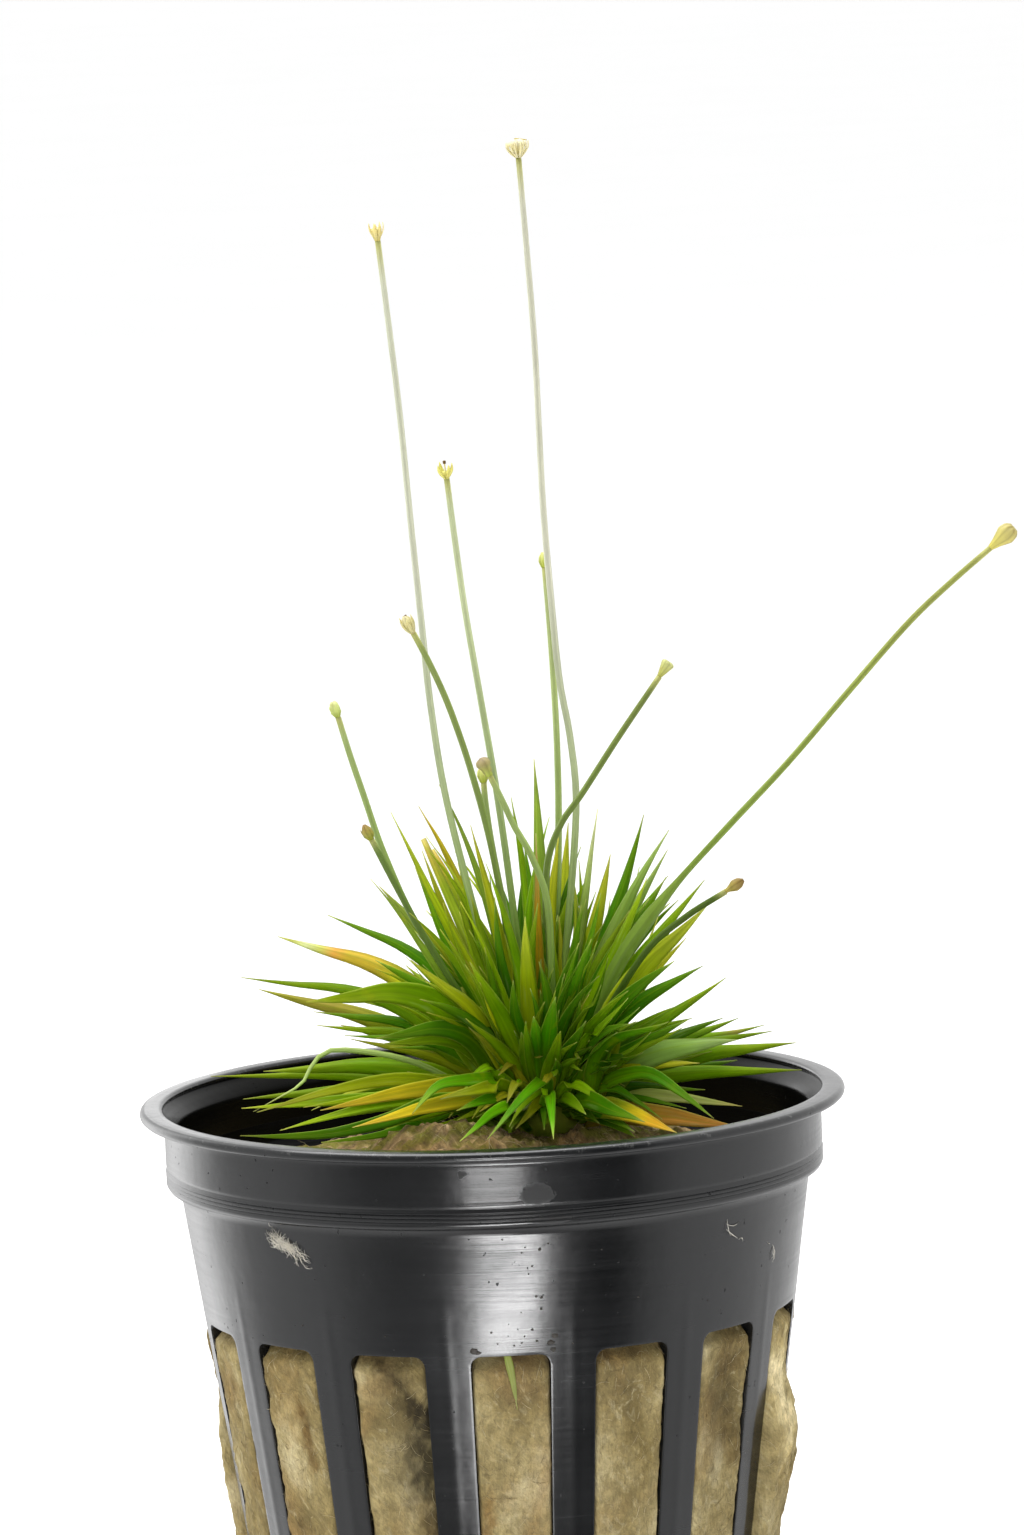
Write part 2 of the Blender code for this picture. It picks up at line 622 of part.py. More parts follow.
def stalk_rings(stalk, swell=0.0):
    """Rings of a stalk, which is wider where a sheath wraps its foot."""
    path = stalk_path(stalk)
    rings = []
    for index, point in enumerate(path):
        along = (path[min(index + 1, len(path) - 1)] - path[max(index - 1, 0)]).normalized()
        across = along.cross(Vector((0.0, 1.0, 0.0))).normalized()
        beside = along.cross(across)
        radius = STALK_RADIUS * (STALK_FOOT - STALK_TAPER * index / len(path)) + swell
        if index < STALK_STEPS * stalk.sheath:
            radius = SHEATH_RADIUS + swell
        ring = []
        for step in range(STALK_SIDES):
            angle = 2 * math.pi * step / STALK_SIDES
            ring.append(point + radius * (math.cos(angle) * across + math.sin(angle) * beside))
        rings.append(ring)
    return rings


def head_rings(stalk, swell=0.0):
    """Rings of the head that sits on a stalk's end and follows its direction."""
    path = stalk_path(stalk)
    along = (path[-1] - path[-2]).normalized()
    across = along.cross(Vector((0.0, 1.0, 0.0))).normalized()
    beside = along.cross(across)
    foot = path[-1] + along * (GAP - swell)
    profile = HEAD_PROFILES[stalk.head]
    rings = []
    for level, (radius, height) in enumerate(profile):
        ring = []
        for step in range(HEAD_SIDES):
            angle = 2 * math.pi * step / HEAD_SIDES
            at_brim = stalk.head == "cup" and level == len(profile) - 1
            notch = CUP_NOTCH if at_brim and step % 2 else 1.0
            reach = radius * stalk.size * notch + swell
            out = math.cos(angle) * across + math.sin(angle) * beside
            ring.append(foot + along * height * stalk.size * notch + out * reach)
        rings.append(ring)
    rings.append([foot + along * HEAD_TOPS[stalk.head] * stalk.size])
    return rings


def add_flowers():
    """The stalks and their heads. Returns trees of their swollen forms, for the leaves to clear."""
    stalk_finish = material("flower_stem")
    head_finish = material("flower_head")
    trees = []
    for number, stalk in enumerate(STALKS, 1):
        add_object(f"flower_stem_{number:02d}", *loft(stalk_rings(stalk)), stalk_finish)
        add_object(f"flower_head_{number:02d}", *loft(head_rings(stalk)), head_finish)
        trees.append(tree_of(stalk_rings(stalk, GAP / 2)))
        trees.append(tree_of(head_rings(stalk, GAP / 2)))
    return trees


def tree_of_object(obj):
    mesh = obj.data
    points = [vertex.co / METRES_PER_MM for vertex in mesh.vertices]
    return BVHTree.FromPolygons(points, [tuple(face.vertices) for face in mesh.polygons])


def add_outer_leaves(others):
    for number, leaf in enumerate(OUTER_LEAVES, 1):
        path, width = place_leaf(leaf, others, OUTER_LIFTS, -GAP - TOUCH, OUTER_STEPS)
        if path is None:
            raise SystemExit(f"no room for leaf {number}")
        others.append(tree_of(leaf_rings(path, width)))
        finish = material(f"leaf_{leaf.hue}")
        points, faces = loft(leaf_rings(path, width))
        add_object(f"leaf_{number:02d}", points, split_sides(faces), finish)


def main():
    clear_scene()
    pot = add_pot()
    wool = add_rock_wool()
    flower_trees = add_flowers()
    rosette, rosette_trees = add_inner_rosette(flower_trees)
    ground = [tree_of_object(pot), tree_of_object(wool)]
    add_outer_leaves([*ground, *flower_trees, *rosette_trees])


main()
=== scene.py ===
"""The looks of a potted Eriocaulon cinereum: fine leaves, stalks, flower heads, rock wool and pot.

Lengths are in millimetres, as in the part's source, and each mesh is scaled to metres when it is made.
"""

import json
import math
import random
from collections import defaultdict

import bpy
import numpy as np
from mathutils import Matrix, Vector, noise
from mathutils.bvhtree import BVHTree


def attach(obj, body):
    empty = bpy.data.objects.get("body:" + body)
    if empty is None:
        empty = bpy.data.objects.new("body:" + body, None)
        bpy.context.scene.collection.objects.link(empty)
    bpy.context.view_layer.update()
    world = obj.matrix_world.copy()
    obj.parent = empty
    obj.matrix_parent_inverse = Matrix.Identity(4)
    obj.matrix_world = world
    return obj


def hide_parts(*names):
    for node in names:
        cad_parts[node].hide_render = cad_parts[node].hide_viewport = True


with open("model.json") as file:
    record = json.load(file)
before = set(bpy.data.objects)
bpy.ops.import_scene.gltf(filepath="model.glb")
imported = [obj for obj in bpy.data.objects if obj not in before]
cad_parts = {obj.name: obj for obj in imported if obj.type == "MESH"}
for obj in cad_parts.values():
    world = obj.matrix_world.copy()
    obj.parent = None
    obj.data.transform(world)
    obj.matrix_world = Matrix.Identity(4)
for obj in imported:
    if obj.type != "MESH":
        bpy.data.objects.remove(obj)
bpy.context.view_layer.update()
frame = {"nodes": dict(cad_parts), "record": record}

MM = 0.001

# Photograph's camera, from the pot's rim, collar and slots
PHOTO_SIZE = (1024, 1535)
FOCAL_PIXELS = 8978.0
SENSOR = 36.0
CAMERA_DISTANCE = 700.0
CAMERA_PITCH = 7.2
CAMERA_ROLL = 2.25
RIM_IN_VIEW = (-2.56, -25.32)

# Pot
POT_HEIGHT = 50.0
RIM_RADIUS = 27.5
MOUTH_RADIUS = 25.7
RIM_THICKNESS = 0.8
RIM_CROWN = 3.2
COLLAR_RADIUS = 25.6
COLLAR_BOTTOM = 43.8
WALL_TOP_RADIUS = 24.6
BASE_RADIUS = 18.2
WALL = 1.0
FLOOR = 1.2
SLOT_COUNT = 15
PITCH = 360.0 / SLOT_COUNT
SLOT_ANGLE = 15.2
SLOT_TURN = 1.75
SLOT_TOP = 33.6
SLOT_BOTTOM = 5.0
SLOT_CORNER = 0.85
SLOT_BLEND = 37.0
SLOT_LOW_BLEND = 2.8
RIDGE_CREST = 0.032
RIDGE_WIDTH = 0.42
RIDGE_TOP = 39.5
DRAIN_OUTER = 13.5
DRAIN_INNER = 7.0
# Width of the pot's worn edges, and the angle in degrees from which an edge is worn
WORN_WIDTH, WORN_FROM = 0.14, 50

# Light, as parts of full white: the tent, its side behind the camera, and its glow behind at the left
TENT, CAMERA_SIDE, LEFT_GLOW = 1.13, 0.3, 2.1

# Soft lamps: name, place, what they face, size, power
LAMPS = (
    ("top_panel", (-60, 40, 420), (0, 0, 50), 360, 2.2),
    ("front_fill", (-110, -420, 250), (0, 0, 55), 460, 1.15),
)
# Narrow lamps that only glossy surfaces show, seven before the pot and one behind it:
# name, place, width, how tall, power
GLARES = (
    ("glare_on_wall", (3.5, -62.0, 17.2), 17.0, 6.0, 0.0105),
    ("glare_above_right", (11.0, -62.0, 21.0), 10.0, 4.5, 0.0034),
    ("glare_beside", (0.5, -62.0, 19.4), 24.0, 9.0, 0.0045),
    ("glare_above", (9.0, -62.0, 24.2), 26.0, 6.0, 0.0021),
    ("glare_on_ribs", (-3.5, -62.0, 7.4), 17.0, 16.0, 0.0105),
    ("glare_on_low_ribs", (-3.0, -62.0, -7.6), 15.0, 14.0, 0.0027),
    ("glare_on_collar", (-0.5, -62.0, 41.5), 17.0, 7.0, 0.0048),
    ("glare_on_rim", (-31.0, 100.0, 64.0), 12.0, 26.0, 0.0007),
)

# Plant
HEART = Vector((4.0, -2.0, 48.9))
HEART_RADII = Vector((3.5, 3.5, 2.3))


def srgb(*parts):
    """A linear colour from 0 to 255 display values."""
    return tuple(((part / 255 + 0.055) / 1.055) ** 2.4 if part > 10 else part / 255 / 12.92 for part in parts)


# Display colours of a leaf at its foot, along its body and at its tip, and where the tip's colour starts
# The foot colours are the feet's own paler green, painted lighter still as painted light that lifts the shade
# in the crowded heart.
LOOKS = {
    "deep": ((124, 174, 6), (66, 128, 0), (116, 150, 30), 0.6),
    "bright": ((150, 190, 10), (120, 164, 0), (160, 180, 40), 0.6),
    "yellow_green": ((164, 186, 8), (176, 186, 18), (196, 190, 70), 0.65),
    "vivid": ((112, 166, 0), (90, 162, 5), (166, 192, 84), 0.75),
    "yellow": ((150, 160, 8), (208, 186, 34), (212, 172, 62), 0.7),
    "straw": ((150, 172, 60), (190, 202, 124), (204, 184, 120), 0.8),
    "sheen": ((110, 146, 16), (150, 178, 80), (180, 196, 124), 0.7),
    "orange": ((170, 146, 34), (206, 146, 60), (178, 114, 56), 0.7),
    "grey": ((104, 140, 4), (134, 162, 62), (140, 156, 84), 0.65),
    "amber_tip": ((106, 140, 0), (172, 184, 22), (230, 180, 50), 0.5),
    "blunt_orange": ((100, 136, 8), (176, 188, 48), (240, 184, 96), 0.8),
    "young": ((170, 214, 14), (156, 204, 12), (178, 200, 60), 0.7),
    "young_yellow": ((200, 208, 24), (206, 204, 40), (212, 196, 84), 0.65),
    "dry_tip": ((84, 126, 0), (196, 148, 24), (206, 172, 130), 0.7),
    "pale_tip": ((78, 124, 8), (148, 172, 76), (216, 212, 186), 0.65),
}

# Looks that turn yellower on the plant's left, by how much, and the dried colour of the very tips
GREEN_LOOKS = ("deep", "bright", "vivid", "grey", "sheen")
WARMER = 0.16
DRIED_TIP = srgb(212, 206, 136)

# What dims the wool's colour all over
WOOL_DIMMED = (0.75, 0.745, 0.75)

# Inner leaves with a look of their own, by where their tips are (x, height)
TIP_LOOKS = {
    (-7.0, 72.2): "yellow_green",
    (-4.6, 68.9): "blunt_orange",
    (-4.9, 71.6): "amber_tip",
    (-3.2, 73.6): "grey",
    (-0.3, 72.0): "yellow_green",
    (3.8, 75.8): "grey",
    (4.2, 70.9): "dry_tip",
    (6.8, 70.1): "yellow_green",
    (7.5, 70.0): "pale_tip",
    (9.1, 71.6): "pale_tip",
    (12.7, 70.9): "deep",
    (14.6, 69.9): "sheen",
    (14.5, 67.8): "sheen",
    (-8.2, 67.7): "grey",
    (-8.2, 65.8): "grey",
    (1.2, 50.4): "straw",
}


# Meshes


def add_piece(name, points, faces, finish, slot=None, node=None, places=None, tint=None):
    """A smooth mesh object from points in millimetres, with surface coordinates and tints of its points.

    With a slot it is a piece that rides on the frame's body, and it may stand for a CAD node.
    """
    mesh = bpy.data.meshes.new(name)
    mesh.from_pydata((np.asarray(points) * MM).tolist(), [], [tuple(map(int, face)) for face in faces])
    mesh.materials.append(finish)
    if places is not None:
        uv = np.asarray(places, np.float32)[np.concatenate([np.asarray(face) for face in faces])]
        mesh.uv_layers.new(name="surface").data.foreach_set("uv", uv.ravel())
    if tint is not None:
        colours = np.ones((len(points), 4), np.float32)
        colours[:, :3] = tint
        mesh.color_attributes.new("tint", "FLOAT_COLOR", "POINT").data.foreach_set("color", colours.ravel())
    mesh.shade_smooth()
    obj = bpy.data.objects.new(name, mesh)
    bpy.context.scene.collection.objects.link(obj)
    if slot:
        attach(obj, "root")
    if node:
        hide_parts(node)
    return obj


class Heap:
    """Points, faces, surface coordinates and tints of many small shapes that make one piece."""

    def __init__(self):
        self.points, self.faces, self.places, self.tints, self.count = [], [], [], [], 0

    def add(self, points, faces, places, tints):
        self.faces += [tuple(int(index) + self.count for index in face) for face in faces]
        self.points.append(np.asarray(points, float))
        self.places.append(np.asarray(places, float))
        self.tints.append(np.broadcast_to(np.asarray(tints, float), (len(points), 3)))
        self.count += len(points)

    def piece(self, name, finish, slot, node=None):
        points, places, tints = (np.concatenate(part) for part in (self.points, self.places, self.tints))
        return add_piece(name, points, self.faces, finish, slot, node, places, tints)


def ring_faces(rings, sides, tip=False, foot=True):
    """Faces of a closed form through rings of points, with an end point after the last if it has a tip."""
    faces = []
    for ring in range(rings - 1):
        for side in range(sides):
            a, b = ring * sides + side, ring * sides + (side + 1) % sides
            faces.append((a, b, b + sides, a + sides))
    last = (rings - 1) * sides
    if foot:
        faces.append(tuple(reversed(range(sides))))
    if tip:
        faces += [(last + side, last + (side + 1) % sides, last + sides) for side in range(sides)]
    else:
        faces.append(tuple(range(last, last + sides)))
    return faces


def smooth_path(points, steps):
    """The points of a smooth curve through the given points, evenly spaced along it."""
    points = np.asarray(points, float)
    ends = np.vstack([2 * points[0] - points[1], points, 2 * points[-1] - points[-2]])
    dense = []
    for a, b, c, d in zip(ends, ends[1:], ends[2:], ends[3:]):
        for t in np.linspace(0, 1, 12, endpoint=False):
            bend = (2 * a - 5 * b + 4 * c - d) * t**2 + (3 * b - a - 3 * c + d) * t**3
            dense.append(0.5 * (2 * b + (c - a) * t + bend))
    dense = np.array([*dense, points[-1]])
    along = np.concatenate([[0], np.cumsum(np.linalg.norm(np.diff(dense[:, :3], axis=0), axis=1))])
    wanted = np.linspace(0, along[-1], steps + 1)
    return np.stack([np.interp(wanted, along, column) for column in dense.T], 1)


def unit(vectors):
    return vectors / np.maximum(np.linalg.norm(vectors, axis=-1, keepdims=True), 1e-9)


def tangents(path):
    return unit(np.gradient(path, axis=0))


def sides_of(way, apart=(0.0, 1.0, 0.0)):
    """Two directions at right angles to a direction and to each other, the first also to a third one."""
    side = unit(np.cross(way, np.array(apart)))
    return side, np.cross(way, side)


# Reading the frame


def welded(node):
    """The points of a CAD node, each once, and which points each one shares an edge with."""
    mesh = frame["nodes"][node].data
    points = np.empty(len(mesh.vertices) * 3)
    mesh.vertices.foreach_get("co", points)
    points = points.reshape(-1, 3) / MM
    _, first, index = np.unique(np.round(points, 3), axis=0, return_index=True, return_inverse=True)
    ends = np.empty(len(mesh.edges) * 2, int)
    mesh.edges.foreach_get("vertices", ends)
    neighbours = defaultdict(set)
    for a, b in index.reshape(-1)[ends].reshape(-1, 2).tolist():
        if a != b:
            neighbours[a].add(b)
            neighbours[b].add(a)
    return points[first], neighbours


def rings_from_tip(tip, neighbours, size):
    """Rings of points, counted from a blade's tip, for as long as they have the blade's number of points."""
    rings, seen, front = [], {tip}, {tip}
    while True:
        front = {other for point in front for other in neighbours[point]} - seen
        if len(front) != size:
            return rings
        seen |= front
        rings.append(sorted(front))


def width_pair(ring, like=None):
    """The ends of a ring's width: its two furthest points, or the two that lie most like a direction."""
    pairs = [(ring[a], ring[b]) for a in range(len(ring)) for b in range(len(ring)) if a != b]
    if like is None:
        return max(pairs, key=lambda pair: np.linalg.norm(pair[1] - pair[0]))
    return max(pairs, key=lambda pair: unit(pair[1] - pair[0]) @ like)


def blade_of_rings(rings, tip):
    """Middle points from foot to tip, directions across and the blade's full width, from its rings."""
    rings = rings[::-1]
    widths = [max(np.linalg.norm(a - b) for a in ring for b in ring) for ring in rings]
    widest = int(np.argmax(widths))
    pairs = [None] * len(rings)
    pairs[widest] = width_pair(rings[widest])
    for order in (range(widest + 1, len(rings)), range(widest - 1, -1, -1)):
        like = unit(pairs[widest][1] - pairs[widest][0])
        for index in order:
            pairs[index] = width_pair(rings[index], like)
            like = unit(pairs[index][1] - pairs[index][0])
    middles = [(a + b) / 2 for a, b in pairs] + [tip]
    across = [unit(b - a) for a, b in pairs]
    return middles, [*across, across[-1]], widths[widest]


def outer_blade(node):
    points, neighbours = welded(node)
    tip = int(np.argmax(np.linalg.norm(points - np.array(HEART), axis=1)))
    rings = [points[ring] for ring in rings_from_tip(tip, neighbours, 4)]
    return blade_of_rings(rings, points[tip])


def inner_blades():
    """The blades of the rosette's inner leaves, as far towards the heart as each stands free."""
    points, neighbours = welded("inner_rosette")
    away = np.linalg.norm(points - np.array(HEART), axis=1)
    blades = []
    for tip in range(len(points)):
        if len(neighbours[tip]) != 3 or any(away[other] >= away[tip] for other in neighbours[tip]):
            continue
        rings = [points[ring] for ring in rings_from_tip(tip, neighbours, 3)[:3]]
        if rings and away[tip] > 6.0:
            blades.append(blade_of_rings(rings, points[tip]))
    return blades


def stem_line(node):
    """Middle points of a stalk from its foot up, and its radii there. Its rings have six points each."""
    points, _ = welded(node)
    rings = points[np.argsort(points[:, 2])].reshape(-1, 6, 3)
    middles = rings.mean(axis=1)
    return middles, np.linalg.norm(rings - middles[:, None], axis=2).mean(axis=1)


# Node materials


def rgba(value):
    """A colour socket's value from a linear colour or a grey."""
    return (*value, 1) if isinstance(value, tuple) else (value, value, value, 1)


class Nodes:
    """A node tree in the making."""

    def __init__(self, tree):
        self.nodes, self.links = tree.nodes, tree.links

    def node(self, kind, settings=(), **values):
        made = self.nodes.new(kind)
        for name, value in dict(settings).items():
            setattr(made, name, value)
        for name, value in values.items():
            self.put(made.inputs[name.replace("_", " ")], value)
        return made

    def put(self, socket, value):
        if isinstance(value, bpy.types.NodeSocket):
            self.links.new(value, socket)
        else:
            socket.default_value = value

    def math(self, operation, a, b=0.0):
        made = self.node("ShaderNodeMath", {"operation": operation})
        self.put(made.inputs[0], a)
        self.put(made.inputs[1], b)
        return made.outputs[0]


class Shader(Nodes):
    """A node material in the making."""

    def __init__(self, name):
        self.material = bpy.data.materials.new(name)
        self.material.use_nodes = True
        super().__init__(self.material.node_tree)
        self.principled = self.nodes["Principled BSDF"]

    def set(self, **values):
        for name, value in values.items():
            self.put(self.principled.inputs[name.replace("_", " ")], value)

    def uv(self, scale):
        place = self.node("ShaderNodeUVMap", {"uv_map": "surface"}).outputs[0]
        return self.node("ShaderNodeMapping", Vector=place, Scale=scale).outputs[0]

    def position(self, scale, turn=(0.0, 0.0, 0.0)):
        place = self.node("ShaderNodeTexCoord").outputs["Object"]
        if any(turn):
            place = self.node("ShaderNodeMapping", Vector=place, Rotation=turn).outputs[0]
        return self.node("ShaderNodeMapping", Vector=place, Scale=[part / MM for part in scale]).outputs[0]

    def noise(self, place, detail=3.0, roughness=0.5, distortion=0.0):
        return self.node("ShaderNodeTexNoise", Vector=place, Scale=1.0, Detail=detail, Roughness=roughness,
                         Distortion=distortion).outputs["Fac"]

    def surface_noise(self, *scale, **looks):
        """Noise on the surface coordinates: its scale across and along."""
        return self.noise(self.uv((*scale, 1.0)), **looks)

    def solid_noise(self, *scale, turn=(0.0, 0.0, 0.0), **looks):
        """Noise in space: its scale along x, y and z, or one scale for all three."""
        return self.noise(self.position(scale * (3 // len(scale)), turn), **looks)

    def ramp(self, factor, *stops):
        """A colour ramp with (position, colour or grey) stops."""
        made = self.node("ShaderNodeValToRGB", Fac=factor)
        ramp = made.color_ramp
        while len(ramp.elements) < len(stops):
            ramp.elements.new(0.5)
        for element, (position, colour) in zip(ramp.elements, stops):
            element.position = position
            element.color = rgba(colour)
        return made.outputs["Color"]

    def mix(self, factor, a, b, blend="MIX"):
        made = self.node("ShaderNodeMix", {"data_type": "RGBA", "blend_type": blend})
        self.put(made.inputs[0], factor)
        for socket, value in ((made.inputs[6], a), (made.inputs[7], b)):
            self.put(socket, value if isinstance(value, bpy.types.NodeSocket) else rgba(value))
        return made.outputs[2]

    def shade(self, colour, factor, low, high, share=1.0):
        """The colour times a ramp between two (position, grey) stops."""
        return self.mix(share, colour, self.ramp(factor, low, high), "MULTIPLY")

    def bump(self, height, distance, strength=1.0, normal=None):
        made = self.node("ShaderNodeBump", Height=height, Distance=distance * MM, Strength=strength)
        if normal is not None:
            self.put(made.inputs["Normal"], normal)
        return made.outputs[0]

    def tint(self):
        return self.node("ShaderNodeAttribute", {"attribute_name": "tint"}).outputs["Color"]

    def let_light_through(self, colour, share):
        """Mixes in the light that a thin leaf lets through."""
        through = self.node("ShaderNodeBsdfTranslucent", Color=colour)
        mixed = self.node("ShaderNodeMixShader", Fac=share)
        self.links.new(self.principled.outputs[0], mixed.inputs[1])
        self.links.new(through.outputs[0], mixed.inputs[2])
        self.links.new(mixed.outputs[0], self.nodes["Material Output"].inputs["Surface"])


def leaf_material():
    """A thin leaf: faint veins, soft clouds, paler edges, a painted silvery sheen in places, light coming
    through.
    """
    shader = Shader("leaf_surface")
    veins = shader.surface_noise(4.0, 0.05, detail=2.0)
    fine = shader.surface_noise(13.0, 0.35, detail=2.0)
    cloud = shader.surface_noise(0.6, 0.2)
    painted_sheen = shader.surface_noise(1.1, 0.16, roughness=0.55)
    blotch = shader.solid_noise(0.3, roughness=0.6)
    across = shader.node("ShaderNodeSeparateXYZ", Vector=shader.uv((1.0, 1.0, 1.0))).outputs[0]
    across = shader.math("ABSOLUTE", across)
    rib = shader.ramp(across, (0.0, 0.25), (0.12, 0.0))
    band = shader.ramp(across, (0.0, 0.94), (0.4, 1.12), (0.8, 0.84), (0.93, 1.0))
    rim = shader.ramp(across, (0.88, 0.0), (1.0, 0.55))
    lined = shader.shade(shader.tint(), veins, (0.32, 0.84), (0.68, 1.14))
    lined = shader.shade(lined, fine, (0.35, 0.84), (0.65, 1.1), 0.6)
    lined = shader.shade(lined, cloud, (0.3, 0.8), (0.7, 1.2))
    lined = shader.mix(1.0, lined, band, "MULTIPLY")
    lined = shader.mix(rib, lined, srgb(176, 200, 40))
    lined = shader.mix(rim, lined, srgb(202, 212, 84))
    # Painted sheen: pale silvery patches in the base colour stand in for glossy reflections on the leaves.
    lined = shader.mix(shader.ramp(painted_sheen, (0.62, 0.0), (0.76, 0.28)), lined, srgb(190, 204, 128))
    colour = shader.mix(shader.ramp(blotch, (0.62, 0.0), (0.8, 0.4)), lined, srgb(204, 190, 24))
    normal = shader.bump(veins, 0.04, 0.4, shader.bump(fine, 0.015, 0.4))
    rough = shader.ramp(fine, (0.3, 0.36), (0.7, 0.56))
    shader.set(Base_Color=colour, Roughness=rough, Normal=normal, Specular_IOR_Level=0.1)
    shader.let_light_through(shader.mix(0.4, colour, srgb(156, 206, 0)), 0.52)
    return shader.material


def stem_material():
    """A stalk: pale green, finely ribbed, a little see-through."""
    shader = Shader("stalk_surface")
    ribs = shader.surface_noise(9.0, 0.05, detail=1.0)
    colour = shader.shade(shader.tint(), ribs, (0.35, 0.82), (0.65, 1.1))
    colour = shader.shade(colour, shader.solid_noise(1.2, 1.2, 0.25), (0.3, 0.82), (0.7, 1.1), 0.5)
    normal = shader.bump(ribs, 0.03, 0.6)
    shader.set(Base_Color=colour, Roughness=0.45, Normal=normal, Specular_IOR_Level=0.25)
    shader.let_light_through(colour, 0.35)
    return shader.material


def head_material():
    """Flower heads: papery bracts, veined, a little browner in spots."""
    shader = Shader("head_surface")
    spots = shader.solid_noise(3.0, roughness=0.6)
    colour = shader.mix(shader.ramp(spots, (0.54, 0.0), (0.76, 0.4)), shader.tint(), srgb(176, 144, 76))
    lines = shader.surface_noise(9.0, 0.8, detail=2.0)
    colour = shader.shade(colour, lines, (0.35, 0.74), (0.65, 1.12), 0.6)
    normal = shader.bump(lines, 0.04, 0.6)
    shader.set(Base_Color=colour, Roughness=0.5, Normal=normal, Specular_IOR_Level=0.3)
    shader.let_light_through(colour, 0.4)
    return shader.material


def wool_material():
    """Mineral wool: matted straw-coloured fibre, in fine crossing strands, with olive and ochre stains."""
    shader = Shader("rock_wool_surface")
    cloud = shader.solid_noise(0.16, 0.16, 0.13, detail=5.0, roughness=0.6)
    stain = shader.solid_noise(0.12, 0.14, 0.08, distortion=0.6)
    strands = dict(detail=4.0, roughness=0.6, distortion=0.9)
    upright = shader.solid_noise(4.5, 4.5, 0.9, **strands)
    slanted = shader.solid_noise(4.0, 4.0, 1.0, turn=(0.5, 0.7, 0.3), **strands)
    grain = shader.solid_noise(7.0, 7.0, 6.0, detail=4.0, roughness=0.7)
    wispy = dict(detail=5.0, roughness=0.65, distortion=1.2)
    wisps = shader.solid_noise(1.1, 1.1, 0.35, turn=(0.3, 0.5, 0.2), **wispy)
    dark, dull, pale, palest = srgb(112, 97, 58), srgb(146, 129, 82), srgb(170, 154, 106), srgb(206, 192, 148)
    base = shader.ramp(cloud, (0.3, dark), (0.45, dull), (0.56, pale), (0.68, palest))
    base = shader.mix(shader.ramp(wisps, (0.56, 0.0), (0.7, 0.55)), base, srgb(206, 194, 152))
    base = shader.mix(shader.ramp(wisps, (0.26, 0.35), (0.38, 0.0)), base, srgb(116, 94, 50))
    base = shader.mix(shader.ramp(stain, (0.5, 0.0), (0.7, 0.6)), base, srgb(158, 126, 76))
    base = shader.shade(base, upright, (0.34, 0.72), (0.62, 1.16), 0.6)
    base = shader.shade(base, slanted, (0.34, 0.74), (0.62, 1.14), 0.7)
    base = shader.shade(base, grain, (0.36, 0.72), (0.6, 1.1), 0.4)
    tint = shader.mix(1.0, base, shader.tint(), "MULTIPLY")
    tint = shader.mix(1.0, tint, WOOL_DIMMED, "MULTIPLY")
    normal = shader.bump(upright, 0.16, 0.7, shader.bump(slanted, 0.14, 0.7, shader.bump(grain, 0.08, 0.6)))
    shader.set(Base_Color=tint, Roughness=0.9, Normal=normal, Specular_IOR_Level=0.2)
    return shader.material


def fibre_material():
    """Loose fibres: matt, each in its own tint, lighter and darker along it."""
    shader = Shader("fibre_surface")
    colour = shader.shade(shader.tint(), shader.solid_noise(1.5, detail=2.0), (0.3, 0.65), (0.7, 1.15), 0.7)
    shader.set(Base_Color=colour, Roughness=0.6)
    shader.let_light_through(colour, 0.25)
    return shader.material


def pot_material(name, gloss, dark, light):
    """Moulded black plastic: satin, with streaks around it, scuffs on the rim, dust and dark specks."""
    shader = Shader(name)
    streak = shader.solid_noise(0.05, 0.05, 3.2, detail=4.0, roughness=0.6)
    hair = shader.solid_noise(0.1, 0.1, 11.0, detail=2.0)
    cloud = shader.solid_noise(0.12, detail=4.0, roughness=0.6)
    dust = shader.solid_noise(1.6, detail=5.0, roughness=0.75)
    specks = shader.solid_noise(2.4, 2.4, 2.0, detail=1.0)
    height = shader.node("ShaderNodeSeparateXYZ", Vector=shader.position((1.0, 1.0, 1.0))).outputs[2]
    on_rim = shader.ramp(shader.math("SUBTRACT", height, POT_HEIGHT - 1.2), (0.75, 0.0), (1.0, 1.0))
    scuffs = shader.mix(1.0, shader.ramp(dust, (0.56, 0.0), (0.72, 0.8)), on_rim, "MULTIPLY")
    grease = shader.node("ShaderNodeSeparateColor", Color=shader.tint()).outputs[0]
    grease = shader.math("ADD", grease, shader.math("MULTIPLY", dust, 0.7))
    grease = shader.ramp(grease, (0.68, 0.0), (0.84, 0.75))
    colour = shader.mix(shader.ramp(cloud, (0.35, 0.0), (0.7, 0.6)), dark, light)
    colour = shader.mix(shader.ramp(dust, (0.68, 0.0), (0.78, 0.25)), colour, srgb(80, 80, 78))
    colour = shader.mix(scuffs, colour, srgb(96, 96, 94))
    colour = shader.mix(grease, colour, srgb(12, 12, 12))
    patchy = shader.ramp(cloud, (0.3, 0.18), (0.7, 0.3))
    rough = shader.mix(0.5, shader.ramp(streak, (0.3, 0.16), (0.7, 0.3)), patchy)
    rough = shader.mix(shader.ramp(specks, (0.76, 0.0), (0.78, 0.9)), rough, 0.95)
    rough = shader.mix(grease, rough, 0.8)
    rough = shader.mix(on_rim, rough, 0.2)
    normal = shader.bump(streak, 0.022, 0.5, shader.bump(hair, 0.008, 0.5, shader.bump(cloud, 0.25, 0.3)))
    shader.set(Base_Color=colour, Roughness=rough, Normal=normal, Specular_IOR_Level=gloss)
    return shader.material


# Leaves


